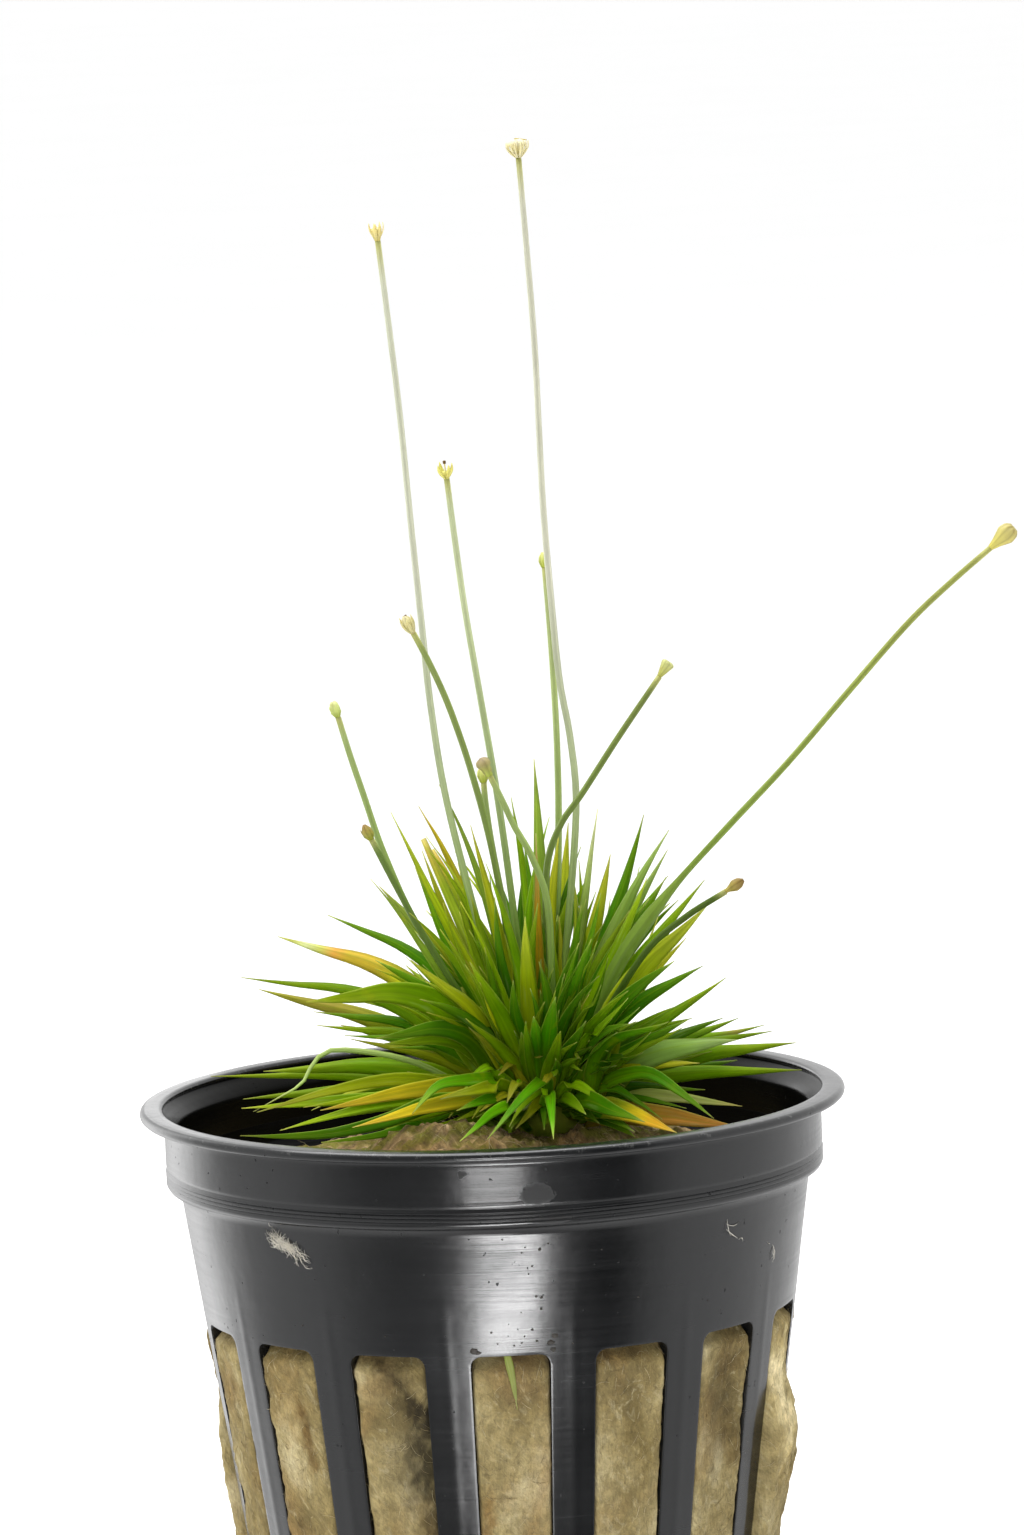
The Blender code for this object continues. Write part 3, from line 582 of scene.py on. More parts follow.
# How much wider an outer blade is than its CAD form, and how far it turns its face to the photograph's camera
OUTER_SHAPE = (1.45, 0.4)
OWN_SHAPES = {
    "leaf_01": (1.6, 0.5), "leaf_02": (1.25, 0.45), "leaf_03": (1.0, 0.5), "leaf_04": (1.25, 0.6),
    "leaf_05": (1.55, 0.75), "leaf_07": (1.6, 0.6), "leaf_10": (0.85, 0.4), "leaf_11": (1.5, 0.5),
    "leaf_12": (1.3, 0.5), "leaf_14": (1.4, 0.5), "leaf_15": (1.2, 0.5), "leaf_16": (1.4, 0.4),
    "leaf_17": (1.1, 0.3), "leaf_18": (1.1, 0.3), "leaf_19": (1.5, 0.3), "leaf_20": (1.5, 0.8),
    "leaf_23": (1.3, 0.5), "leaf_24": (1.3, 0.4), "leaf_25": (1.3, 0.4), "leaf_26": (1.5, 0.5),
    "leaf_27": (1.5, 0.4), "leaf_30": (1.6, 0.4), "leaf_31": (1.7, 0.4),
}
# Stains across a leaf: how far along it, half their length, display colour
PATCHES = {
    "leaf_02": ((0.7, 0.1, (216, 176, 66)), (0.8, 0.03, (222, 150, 84)), (0.9, 0.04, (226, 226, 190))),
    "leaf_04": ((0.75, 0.2, (178, 156, 74)),),
    "leaf_24": ((0.85, 0.05, (196, 170, 90)),),
    "leaf_31": ((0.4, 0.12, (120, 146, 20)), (0.8, 0.1, (224, 168, 40))),
    "buried_leaf": ((0.5, 0.8, (150, 146, 78)),),
}
# How much wider an inner blade is than its CAD form, unless it is dry or blunt, the widest form that counts,
# and the least and most that inner blades turn to the camera
INNER_WIDER, INNER_WIDEST, INNER_FACING = 1.6, 1.25, (0.15, 0.7)
# Leaves that copy another one: turn and lift in degrees, scale, and how much wider than the other's CAD form
BESIDE_OUTER = ((-5, 5), (-4, 1), (0.5, 0.8), (0.8, 1.3))
BETWEEN_INNER = ((-17, 17), (-9, 3), (0.5, 0.88), (1.0, 1.6))
# How many: beside a narrow and a wide outer leaf, and between low and tall inner ones
OUTER_COPIES, WIDE_FROM = (1, 2), 0.9
INNER_COPIES, TALL_FROM = (3, 6), 56.0
# Short leaves round the heart: how many, the first one's angle, the angle between them, and their looks
SHORT_LEAVES, SHORT_FROM, SHORT_APART = 42, -165, 6
SHORT_LOOKS = ("young_yellow", "young", "young")
# Most that a long and a short blade bow sideways, as parts of their length
LONG_BOW, SHORT_BOW = 0.03, 0.07
# The way to the photograph's camera
TO_CAMERA = np.array([0.0, -0.992, 0.125])
# How late a blade tapers, the places of its points across it, and how many steps it has along it
TAPER = (1.5, 2.4)
BLADE_ACROSS = np.array([-1.0, -0.7, -0.35, 0.0, 0.35, 0.7, 1.0])
BLADE_STEPS = 21
# How deep a blade folds, how thick it is and the least half of its width
BLADE_FOLD, BLADE_THICKNESS, BLADE_LEAST = 0.13, 0.2, 0.03


def leaf_tint(look, along, chance, on_left=False, patches=()):
    """Tint of each ring of a leaf, from its look's colours and small changes of its own."""
    *colours, tip_start = LOOKS[look]
    foot, body, tip = (np.array(srgb(*colour)) for colour in colours)
    lower = np.clip(along / 0.6, 0, 1)[:, None]
    upper = np.clip((along - tip_start) / (1.02 - tip_start), 0, 1)[:, None]
    colour = foot * (1 - lower) + body * lower
    colour = colour * (1 - upper) + tip * upper
    dried = np.clip((along - 0.93) / 0.07, 0, 1)[:, None] * 0.6
    colour = colour * (1 - dried) + np.array(DRIED_TIP) * dried
    for middle, reach, stain in patches:
        share = 0.8 * np.exp(-(((along - middle) / reach) ** 2))[:, None]
        colour = colour * (1 - share) + np.array(srgb(*stain)) * share
    shade = chance.uniform(0.76, 1.22)
    warm = chance.uniform(-0.1, 0.12) + (WARMER if on_left and look in GREEN_LOOKS else 0.0)
    return colour * shade * np.array([1 + warm, 1 + warm * 0.3, 1 - warm])


def add_blade(heap, middles, across, width, look, chance, facing=0.4, blunt=0.0, bow=0.0, patches=()):
    """A thin folded blade along a smooth path, with its edges, faces and a sharp or a blunt tip."""
    both = smooth_path(np.hstack([middles, across]), BLADE_STEPS)
    path, side = both[:, :3], unit(both[:, 3:])
    along = np.linspace(0, 1, BLADE_STEPS + 1)
    way = tangents(path)
    seen = unit(np.cross(way, TO_CAMERA))
    seen *= np.where((seen * side).sum(1, keepdims=True) < 0, -1.0, 1.0)
    side = unit(side) * (1 - facing) + seen * facing
    side = unit(side - way * (side * way).sum(1, keepdims=True))
    taper = chance.uniform(*TAPER)
    face = np.cross(way, side)
    waves = sum(chance.uniform(-0.1, 0.1) * np.sin(math.pi * order * along) for order in (2, 3, 4))
    length = np.linalg.norm(np.diff(path, axis=0), axis=1).sum()
    bent = chance.uniform(-bow, bow) * length * np.sin(math.pi * along**1.3)
    path = path + face * (waves * along)[:, None] + side * bent[:, None]
    foot = 0.5 + 0.5 * np.clip(along / 0.3, 0, 1) ** 0.8
    half = np.maximum(0.5 * width * foot * (1 - along**taper * (1 - blunt)), BLADE_LEAST)
    sag = -BLADE_FOLD * (1 - np.abs(BLADE_ACROSS)) ** 1.3
    thick = BLADE_THICKNESS * (1 - 0.8 * BLADE_ACROSS**2)
    slim = np.clip(half / 0.3, 0.25, 1)
    last = len(BLADE_ACROSS) - 1
    upper, lower = range(last + 1), range(last - 1, 0, -1)
    rings = []
    for column, way_out in [(column, 0.5) for column in upper] + [(column, -0.5) for column in lower]:
        out = path + side * (half * BLADE_ACROSS[column])[:, None]
        lift = sag[column] * half * 2 + way_out * thick[column] * slim
        rings.append(out + face * lift[:, None])
    points = np.stack(rings, 1)
    sides = points.shape[1]
    offset = chance.uniform(0, 400)
    u = BLADE_ACROSS[[*upper, *lower]]
    places = np.stack(np.broadcast_arrays(u[None, :], (along * length)[:, None] + offset), 2)
    tints = np.repeat(leaf_tint(look, along, chance, path[-1, 0] < 0, patches), sides, axis=0)
    heap.add(points.reshape(-1, 3), ring_faces(len(points), sides), places.reshape(-1, 2), tints)


def side_look(tip, chance):
    """A look that suits a leaf's side of the rosette."""
    yellowish = 0.75 if tip[0] < -2 else 0.3
    if chance.random() < yellowish:
        return chance.choice(("yellow_green", "bright", "bright"))
    return chance.choice(("deep", "deep", "bright"))


def own_look(tip, chance):
    """An inner leaf's look: a named one by its tip's place, or one that suits its side of the rosette."""
    for (x, height), look in TIP_LOOKS.items():
        if math.hypot(tip[0] - x, tip[2] - height) < 1.2:
            return look
    return side_look(tip, chance)


def heart_foot(towards):
    """A point just inside the heart, on the side of a leaf."""
    out = unit(np.asarray(towards) - np.array(HEART))
    return np.array(HEART) + out * np.array(HEART_RADII) * 0.6


def add_outer_leaves(finish):
    """Each outer leaf in its CAD node's place, with one or two smaller ones beside it."""
    slots = {part["node"]: part["material_slot"] for part in frame["record"]["subparts"]}
    *ranges, widths = BESIDE_OUTER
    for node, slot in sorted(slots.items()):
        if not node.startswith("leaf_"):
            continue
        chance = random.Random(node)
        middles, across, width = outer_blade(node)
        foot = middles[0] + (middles[0] - middles[1]) * 0.35
        path, sides = [foot, *middles], [across[0], *across]
        wider, facing = OWN_SHAPES.get(node, OUTER_SHAPE)
        look = slot.removeprefix("leaf_")
        heap = Heap()
        add_blade(heap, path, sides, width * wider, look, chance, facing, patches=PATCHES.get(node, ()))
        for _ in range(OUTER_COPIES[int(width > WIDE_FROM)]):
            near, near_sides = turned(path, sides, chance, *ranges)
            wide = width * chance.uniform(*widths)
            add_blade(heap, near, near_sides, wide, side_look(near[-1], chance), chance, facing, bow=LONG_BOW)
        heap.piece(node.replace("leaf_", "leaf_blade_"), finish, slot, node)


def turned(middles, across, chance, turns, lifts, scales):
    """A leaf like another one, turned about the heart, raised or lowered and made shorter, by chance."""
    turn, lift = math.radians(chance.uniform(*turns)), math.radians(chance.uniform(*lifts))
    scale = chance.uniform(*scales)
    heart = np.array(HEART)
    run = middles[-1] - heart
    level = unit(np.array([-run[1], run[0], 0.0]))
    rotation = np.array(Matrix.Rotation(turn, 3, "Z") @ Matrix.Rotation(-lift, 3, Vector(level)))
    moved = [heart + rotation @ (point - heart) * scale for point in middles]
    return moved, [rotation @ side for side in across]


def add_heart(heap):
    """The short stem, ridged where leaves have left it."""
    rows, sides = 12, 40
    points = []
    for row in range(rows):
        latitude = math.radians(-88 + 176 * row / (rows - 1))
        for side in range(sides):
            angle = 2 * math.pi * side / sides
            ridge = 1 + 0.05 * math.cos(9 * angle + 2.0 * row)
            flat = math.cos(latitude) * ridge
            out = (flat * math.cos(angle), flat * math.sin(angle), math.sin(latitude))
            points.append([middle + radius * part for middle, radius, part in zip(HEART, HEART_RADII, out)])
    places = [(point[0], point[2]) for point in points]
    # The heart's tint is painted lighter than the stem's own green, as painted light that lifts the shade
    # among the crowded leaves.
    heap.add(points, ring_faces(rows, sides), places, srgb(150, 168, 24))


def add_base_leaves(heap):
    """Short leaves round the heart, closest together in front, where the longer ones leave room."""
    chance = random.Random(12)
    heart = np.array(HEART)
    for step in range(SHORT_LEAVES):
        turn = math.radians(SHORT_FROM + SHORT_APART * step + chance.uniform(-5, 5))
        lift = math.radians(chance.uniform(10, 58))
        out = np.array([math.cos(turn) * math.cos(lift), math.sin(turn) * math.cos(lift), math.sin(lift)])
        level = unit(np.array([-out[1], out[0], 0.0]))
        reach = chance.uniform(5.5, 11.0)
        rise, aside = np.array([0.0, 0.0, chance.uniform(0.2, 0.9)]), level * chance.uniform(-1.6, 1.6)
        droop = np.array([0.0, 0.0, -chance.uniform(0.6, 2.6)])
        path = [heart + out * np.array(HEART_RADII) * 0.7, heart + out * reach * 0.6 + rise,
                heart + out * reach + droop + aside]
        look = chance.choice(SHORT_LOOKS)
        add_blade(heap, path, [level] * 3, chance.uniform(0.9, 1.5), look, chance, bow=SHORT_BOW)


def add_inner_leaves(finish):
    """The heart and every leaf of the inner rosette, with smaller leaves between them."""
    chance = random.Random(4)
    *ranges, widths = BETWEEN_INNER
    heap = Heap()
    add_heart(heap)
    for middles, across, width in inner_blades():
        tip = middles[-1]
        path, sides = [heart_foot(middles[0]), *middles], [across[0], *across]
        look = own_look(tip, chance)
        facing = chance.uniform(*INNER_FACING)
        narrow = min(width, INNER_WIDEST)
        wide = narrow * (1.0 if look in ("dry_tip", "blunt_orange") else INNER_WIDER)
        blunt = 0.35 if look == "blunt_orange" else 0.0
        add_blade(heap, path, sides, wide, look, chance, facing, blunt, LONG_BOW)
        for _ in range(INNER_COPIES[int(tip[2] > TALL_FROM)]):
            near, near_sides = turned(path, sides, chance, *ranges)
            wide, facing = narrow * chance.uniform(*widths), chance.uniform(*INNER_FACING)
            add_blade(heap, near, near_sides, wide, side_look(tip, chance), chance, facing, bow=SHORT_BOW)
    add_base_leaves(heap)
    heap.piece("rosette_leaves", finish, "leaf_deep", "inner_rosette")


# Stalks and flower heads


STALK_STEPS = 60
STALK_SIDES = 10
# Colours of a stalk low down and high up
STALK_TINTS = {
    1: (srgb(142, 172, 66), srgb(222, 222, 202)), 2: (srgb(150, 180, 78), srgb(222, 224, 202)),
    3: (srgb(140, 174, 66), srgb(214, 222, 180)), 4: (srgb(130, 164, 54), srgb(170, 176, 92)),
    5: (srgb(128, 158, 60), srgb(164, 178, 104)), 6: (srgb(124, 154, 62), srgb(138, 148, 80)),
    8: (srgb(112, 144, 54), srgb(150, 168, 96)), 11: (srgb(80, 110, 22), srgb(118, 136, 50)),
}
USUAL_STALK = (srgb(146, 178, 74), srgb(206, 216, 156))
# Where a stalk's colour starts to change and over what height, and the least radius
PALER_FROM, PALER_OVER, STALK_LEAST = 60, 30, 0.16
# Colour right below a head
NECK = srgb(206, 206, 128)


def add_stalks(finish):
    """Each stalk in its CAD node's place, finely ridged, paler higher up, with painted shade down its left
    and right sides.
    """
    angles = [2 * math.pi * step / STALK_SIDES for step in range(STALK_SIDES)]
    rows = np.arange(STALK_STEPS + 1)
    # Painted shade: the tint darkens towards the stalk's left and right sides, where the light falls off.
    edge = [1 - 0.26 * abs(math.cos(angle)) ** 3 for angle in angles]
    neck = np.clip(1 - rows[::-1] / 2.5, 0, 1)[:, None]
    places = [(side / STALK_SIDES, row) for row in rows for side in range(STALK_SIDES)]
    for number in range(1, 13):
        node = f"flower_stem_{number:02d}"
        low, high = (np.array(part) for part in STALK_TINTS.get(number, USUAL_STALK))
        middles, radii = stem_line(node)
        foot = np.array([*heart_foot(middles[0]), radii[0]])
        line = smooth_path(np.vstack([foot, np.hstack([middles, radii[:, None]])]), STALK_STEPS)
        path, radius = line[:, :3], np.maximum(line[:, 3], STALK_LEAST)
        side, beside = sides_of(tangents(path))
        rings = []
        for angle in angles:
            twist = angle + 0.03 * rows
            ridge = radius * (1 + 0.08 * math.cos(5 * angle))
            out = side * np.cos(twist)[:, None] + beside * np.sin(twist)[:, None]
            rings.append(path + out * ridge[:, None])
        part = np.clip((path[:, 2] - PALER_FROM) / PALER_OVER, 0, 1)[:, None]
        tints = low * (1 - part) + high * part
        tints = np.repeat(tints * (1 - neck) + np.array(NECK) * neck, STALK_SIDES, axis=0)
        # The painted side shade goes into the tints.
        tints *= np.tile(edge, STALK_STEPS + 1)[:, None]
        heap = Heap()
        heap.add(np.stack(rings, 1).reshape(-1, 3), ring_faces(STALK_STEPS + 1, STALK_SIDES), places, tints)
        heap.piece(f"stalk_{number:02d}", finish, "flower_stem", node)


def add_bract(heap, foot, axis, out, length, width, spread, tint):
    """A small pointed scale that leaves the head's axis at an angle."""
    steps, sides = 7, 6
    across = np.cross(axis, out)
    points = []
    for step in range(steps):
        t = step / (steps - 1)
        lean = spread * math.sin(0.5 * math.pi * min(1.0, t * 1.3))
        middle = foot + axis * (length * t) + out * (length * lean)
        half = 0.5 * width * max(0.06, math.sin(math.pi * min(0.97, 0.18 + 0.8 * t)))
        for side in range(sides):
            angle = 2 * math.pi * side / sides
            bend = -0.25 * half * math.cos(2 * angle)
            points.append(middle + across * half * math.cos(angle) + out * (0.035 * math.sin(angle) + bend))
    places = [(index % sides / sides, index // sides / steps) for index in range(len(points))]
    heap.add(points, ring_faces(steps, sides), places, tint)


def add_filament(heap, points, radius, tint):
    """A thin four-sided thread through a few points."""
    steps, sides = 10, 4
    path = smooth_path(points, steps)
    side, beside = sides_of(tangents(path), (0.0, 1.0, 0.05))
    turns = np.linspace(0, 2 * math.pi, sides + 1)[:sides]
    rings = [path + radius * (side * math.cos(turn) + beside * math.sin(turn)) for turn in turns]
    faces = ring_faces(steps + 1, sides)
    heap.add(np.stack(rings, 1).reshape(-1, 3), faces, np.zeros(((steps + 1) * sides, 2)), tint)


# Kinds of head: outline from foot to top as (part of height, part of radius), folds round it and their depth,
# its colours low down and high up, and its free bracts: how many, where they start, how long and how far out
HEAD_KINDS = {
    "fan": (((0, 0.22), (0.3, 0.5), (0.7, 0.92), (0.84, 0.7), (0.92, 0.3)), 13, 0.16,
            srgb(220, 212, 132), srgb(246, 240, 214), (13, 0.02, 0.86, 0.5)),
    "crown": (((0, 0.34), (0.3, 0.6), (0.62, 0.7), (0.7, 0.3)), 9, 0.12,
              srgb(226, 212, 128), srgb(246, 236, 176), (7, 0.1, 0.9, 0.34)),
    "open_cup": (((0, 0.3), (0.25, 0.5), (0.38, 0.4), (0.42, 0.15)), 6, 0.16,
                 srgb(214, 212, 100), srgb(240, 234, 150), (4, 0.0, 0.92, 0.46)),
    "pear": (((0, 0.28), (0.25, 0.52), (0.62, 1), (0.86, 0.86), (0.97, 0.45)), 8, 0.035,
             srgb(222, 214, 112), srgb(204, 194, 132), (0, 0, 0, 0)),
    "loose_egg": (((0, 0.35), (0.25, 0.66), (0.55, 0.8), (0.8, 0.6), (0.94, 0.25)), 6, 0.16,
                  srgb(214, 210, 128), srgb(238, 230, 186), (6, 0.0, 0.95, 0.36)),
    "flat_top": (((0, 0.32), (0.3, 0.55), (0.85, 0.98), (0.97, 0.8), (1, 0.5)), 9, 0.05,
                 srgb(190, 190, 92), srgb(214, 216, 152), (0, 0, 0, 0)),
    "lobes": (((0, 0.4), (0.3, 0.9), (0.6, 0.75), (0.85, 0.7), (1, 0.35)), 3, 0.22,
              srgb(196, 212, 96), srgb(232, 236, 172), (3, 0.1, 0.7, 0.35)),
    "brown_egg": (((0, 0.45), (0.3, 0.9), (0.6, 0.85), (0.85, 0.5), (1, 0.15)), 7, 0.07,
                  srgb(180, 190, 70), srgb(176, 146, 88), (2, 0.0, 0.8, 0.3)),
    "knob": (((0, 0.5), (0.35, 0.62), (0.5, 0.7), (0.66, 1), (0.88, 0.9), (1, 0.4)), 5, 0.08,
             srgb(192, 208, 88), srgb(180, 162, 124), (2, 0.0, 0.6, 0.25)),
    "green_bud": (((0, 0.55), (0.4, 0.95), (0.7, 0.8), (1, 0.3)), 4, 0.14,
                  srgb(196, 208, 72), srgb(232, 232, 156), (2, 0.0, 0.8, 0.2)),
    "oval": (((0, 0.3), (0.18, 0.45), (0.5, 0.95), (0.8, 0.8), (1, 0.25)), 7, 0.05,
             srgb(196, 186, 96), srgb(150, 122, 66), (0, 0, 0, 0)),
}
HEADS = ("fan", "crown", "open_cup", "pear", "loose_egg", "flat_top",
         "lobes", "brown_egg", "knob", "green_bud", "oval", "green_bud")
# Heads that are lower and slimmer than their CAD nodes, and the colour of dry threads
HEAD_SQUASH = {"fan": (0.8, 0.84), "loose_egg": (0.8, 0.86)}
DRY = srgb(120, 88, 40)


def add_head_body(heap, base, axis, side, beside, tall, wide, kind):
    """A head's closed body, folded where its bracts meet, with painted shade in the folds."""
    outline, folds, depth, low, high, _ = kind
    rows, sides = 14, 6 * folds
    low, high = np.array(low), np.array(high)
    points, tints = [], []
    for row in range(rows):
        part = row / (rows - 1)
        at = part * outline[-1][0]
        reach = 0.5 * wide * np.interp(at, *zip(*outline))
        for step in range(sides):
            angle = 2 * math.pi * step / sides
            fold = abs(math.cos(0.5 * folds * angle))
            radius = reach * (1 - depth * (1 - fold**0.6))
            out = side * math.cos(angle) + beside * math.sin(angle)
            lift = 0.05 * tall * fold * part
            points.append(base + axis * (at * tall + lift) + out * radius)
            # Painted shade: the tint darkens towards the bottom of each fold.
            tints.append((low * (1 - part) + high * part) * (0.72 + 0.28 * fold**0.5))
    places = [(index % sides / sides, index // sides / rows) for index in range(len(points))]
    heap.add(points, ring_faces(rows, sides), places, tints)


def add_threads(heap, name, base, axis, side, tall, wide):
    """The threads of the kinds of head that have some."""
    top = base + axis * tall
    if name == "fan":
        low = top - axis * 0.12 * tall
        arc = [low - side * 0.48 * wide, top + side * 0.1 * wide, low]
        add_filament(heap, arc, 0.045, srgb(206, 192, 108))
    if name == "open_cup":
        pale = [base + axis * 0.4 * tall, base + axis * 0.75 * tall, top]
        add_filament(heap, pale, 0.05, srgb(232, 224, 150))
        add_filament(heap, [top - axis * 0.12 * tall, top, top + axis * 0.06 * tall], 0.12, DRY)
    if name in ("loose_egg", "brown_egg", "oval"):
        tip = top - axis * 0.04 * tall - side * 0.1 * wide
        add_filament(heap, [tip - axis * 0.16 * tall, tip, tip + axis * 0.04 * tall], 0.09, DRY)


def add_heads(finish):
    """Each head is a folded body with free bracts around it, in the shape of its kind."""
    for number, name in enumerate(HEADS, 1):
        chance = random.Random(100 + number)
        kind = HEAD_KINDS[name]
        node = f"flower_head_{number:02d}"
        middles, _ = stem_line(f"flower_stem_{number:02d}")
        base, axis = middles[-1], unit(middles[-1] - middles[-2])
        side, beside = sides_of(axis)
        points, _ = welded(node)
        heights = (points - base) @ axis
        lower, slimmer = HEAD_SQUASH.get(name, (1.0, 1.0))
        tall = heights.max() * lower
        wide = 2 * np.linalg.norm((points - base) - heights[:, None] * axis, axis=1).max() * slimmer
        heap = Heap()
        add_head_body(heap, base, axis, side, beside, tall, wide, kind)
        low, high = np.array(kind[3]), np.array(kind[4])
        count, start, length, lean = kind[5]
        for step in range(count):
            angle = 2 * math.pi * (step + chance.uniform(-0.2, 0.2)) / count + 0.4
            out = side * math.cos(angle) + beside * math.sin(angle)
            foot = base + axis * tall * start + out * 0.14 * wide
            size = tall * length * chance.uniform(0.88, 1.05)
            spread = lean * wide / tall * chance.uniform(0.85, 1.15)
            add_bract(heap, foot, axis, out, size, 1.9 * wide / max(count, 5), spread, low * 0.4 + high * 0.6)
        add_threads(heap, name, base, axis, side, tall, wide)
        heap.piece(f"button_head_{number:02d}", finish, "flower_head", node)


# Rock wool


def wall_radius(height):
    return BASE_RADIUS + (WALL_TOP_RADIUS - BASE_RADIUS) * height / COLLAR_BOTTOM


def radial(degrees):
    """The level direction at an angle round the pot."""
    return Vector((math.cos(math.radians(degrees)), math.sin(math.radians(degrees)), 0))


def at_height(height):
    return Vector((0, 0, height))


def slot_place(angle):
    """The slot next to an angle, and how far across it the angle is, from -1 to 1 at its sides."""
    turn = (angle + 90.0 - SLOT_TURN) / PITCH
    slot = round(turn)
    return slot % SLOT_COUNT, (turn - slot) * PITCH / (SLOT_ANGLE / 2)


def wool_angles():
    """Angles of the plug's columns: close together in each slot up to its sides, few behind each rib."""
    side = SLOT_ANGLE / 2
    in_slot = [side * WOOL_TO_SIDE * (2 * step / 21 - 1) for step in range(22)]
    start = side * WOOL_DROP
    behind_rib = [start + (PITCH - 2 * start) * step / 5 for step in range(6)]
    turns = [SLOT_TURN + slot * PITCH for slot in range(SLOT_COUNT)]
    return [(90 + turn + angle) % 360 - 180 for turn in turns for angle in (*in_slot, *behind_rib)]


def wool_lumps(point, size, seed):
    place = Vector(point) / size + Vector((seed, 0.0, 0.0))
    return noise.fractal(place, 0.7, 2.1, 4)


def lumpy(point, lumps):
    return sum(share * wool_lumps(point, size, seed) for share, size, seed in lumps)


# Rows of the plug's side and their lowest and highest, and rings of its top
WOOL_ROWS, WOOL_LOW, WOOL_HIGH, TOP_RINGS = 110, 1.6, 43.0, 56
# Lumps of its side and top: share, size, seed. In a slot they keep within a least and a most
SIDE_LUMPS = ((0.22, 3.0, 3.1), (0.1, 0.9, 7.7))
TOP_LUMPS = ((0.5, 3.5, 1.3), (0.5, 1.5, 5.1), (0.28, 0.7, 2.2))
LUMP_LEAST, LUMP_MOST = -0.1, 0.45
# Where its top starts, and what algae make of the colour there
TOP_FROM, ALGAE = 43.2, np.array([0.5, 0.58, 0.18])
# How much of a slot's width the wool fills, and where in it the wool has dropped back behind the ribs
WOOL_TO_SIDE, WOOL_DROP = 0.985, 0.997
# The least swell of the wool in a slot, from its place behind the ribs, and how soon it fades at the ends
LEAST_SWELL, SWELL_FADE = 1.45, 1.3
# A knoll on the wool in front of the plant: its middle, reach and height
KNOLL, KNOLL_REACH, KNOLL_HEIGHT = Vector((-6.5, -13.0)), 4.2, 1.3

# Hollows in the wool's side, which also get painted shade in the wool's colour: angle, height, width, how
# high and how deep
HOLLOWS = ((-107.0, 25.0, 2.2, 4.0, 1.6), (-112.0, 31.0, 1.6, 3.0, 0.7), (-40.0, 27.0, 2.0, 5.0, 0.8))

# Stains on the wool's side, and painted shade and light: angle, height, width, how high, slant and what is
# left of red, green and blue
STAINS_AND_PAINTED_LIGHT = (
    # The dark entries from -104 to -113 degrees are painted shade in the hollows of the slot left of the
    # front one; the pale streak at -109.8 is a painted highlight on a hollow's edge.
    (-112.4, 31.8, 0.8, 2.2, 0.9, (0.4, 0.38, 0.32)), (-106.2, 26.0, 1.7, 4.2, -0.15, (0.28, 0.27, 0.22)),
    (-109.8, 26.0, 0.3, 3.4, -0.15, (1.25, 1.25, 1.3)), (-104.4, 31.5, 1.0, 2.6, 0.0, (0.7, 0.69, 0.62)),
    (-107.6, 29.3, 1.1, 1.6, 0.4, (0.44, 0.42, 0.34)), (-106.0, 20.5, 1.1, 1.8, 0.0, (0.46, 0.42, 0.34)),
    (-38.5, 31.0, 1.6, 2.4, 0.0, (0.74, 0.68, 0.6)), (-36.0, 24.0, 1.0, 2.2, 0.2, (0.7, 0.64, 0.54)),
    (-66.0, 33.0, 2.4, 0.8, 0.0, (0.72, 0.64, 0.52)), (-133.0, 26.5, 0.6, 3.0, 0.1, (0.6, 0.5, 0.38)),
    # The entry at -18 degrees, which brightens the colour 1.6 times, is a painted pool of light on the slot
    # at the far right.
    (-62.0, 26.0, 1.4, 3.0, 0.2, (0.86, 0.84, 0.74)), (-18.0, 27.0, 2.6, 8.0, 0.0, (1.6, 1.6, 1.62)),
    (-137.0, 30.0, 2.2, 4.5, 0.0, (0.94, 0.88, 0.82)), (-94.0, 19.0, 0.7, 3.5, 0.0, (0.8, 0.66, 0.52)),
)


def least_swell(height):
    to_end = min(SLOT_TOP - height, height - SLOT_BOTTOM)
    return LEAST_SWELL * min(1.0, max(0.0, to_end / SWELL_FADE))


def stains_and_painted_light(angle, height):
    """What stains, painted shade and painted light leave of the wool's colour at a place on its side. Their
    edges are ragged.
    """
    left = np.ones(3)
    ragged = 0.8 * wool_lumps((angle * 0.4, 0.0, height), 1.3, 6.0)
    for at, level, wide, high, slant, colour in STAINS_AND_PAINTED_LIGHT:
        across = math.radians(angle - at) * BASE_RADIUS * 1.2 + slant * (height - level)
        near = math.exp(-((across / wide) ** 2) - ((height - level) / high) ** 2)
        share = min(1.0, max(0.0, 1.7 * (near + ragged * math.sqrt(near)) - 0.35))
        left *= 1 - share * (1 - np.array(colour))
    return left


def hollow_depth(angle, height):
    depth = 0.0
    for at, level, wide, high, deep in HOLLOWS:
        apart = math.hypot((angle - at) * 0.38 / wide, (height - level) / high)
        depth += deep * math.exp(-apart**2)
    return depth


def wool_level(row):
    return WOOL_LOW + (WOOL_HIGH - WOOL_LOW) * row / (WOOL_ROWS - 1)


def behind_ribs(height):
    return wall_radius(height) - WALL - 0.4


def slot_swells(tree):
    """How far the plug's CAD form stands out in the middle of each slot at each row."""
    swells = {}
    for slot in range(SLOT_COUNT):
        out = radial(-90 + SLOT_TURN + slot * PITCH)
        for row in range(WOOL_ROWS):
            height = wool_level(row)
            hit = tree.ray_cast(at_height(height), out)[0]
            swells[slot, row] = hit.xy.length - behind_ribs(height)
    return swells


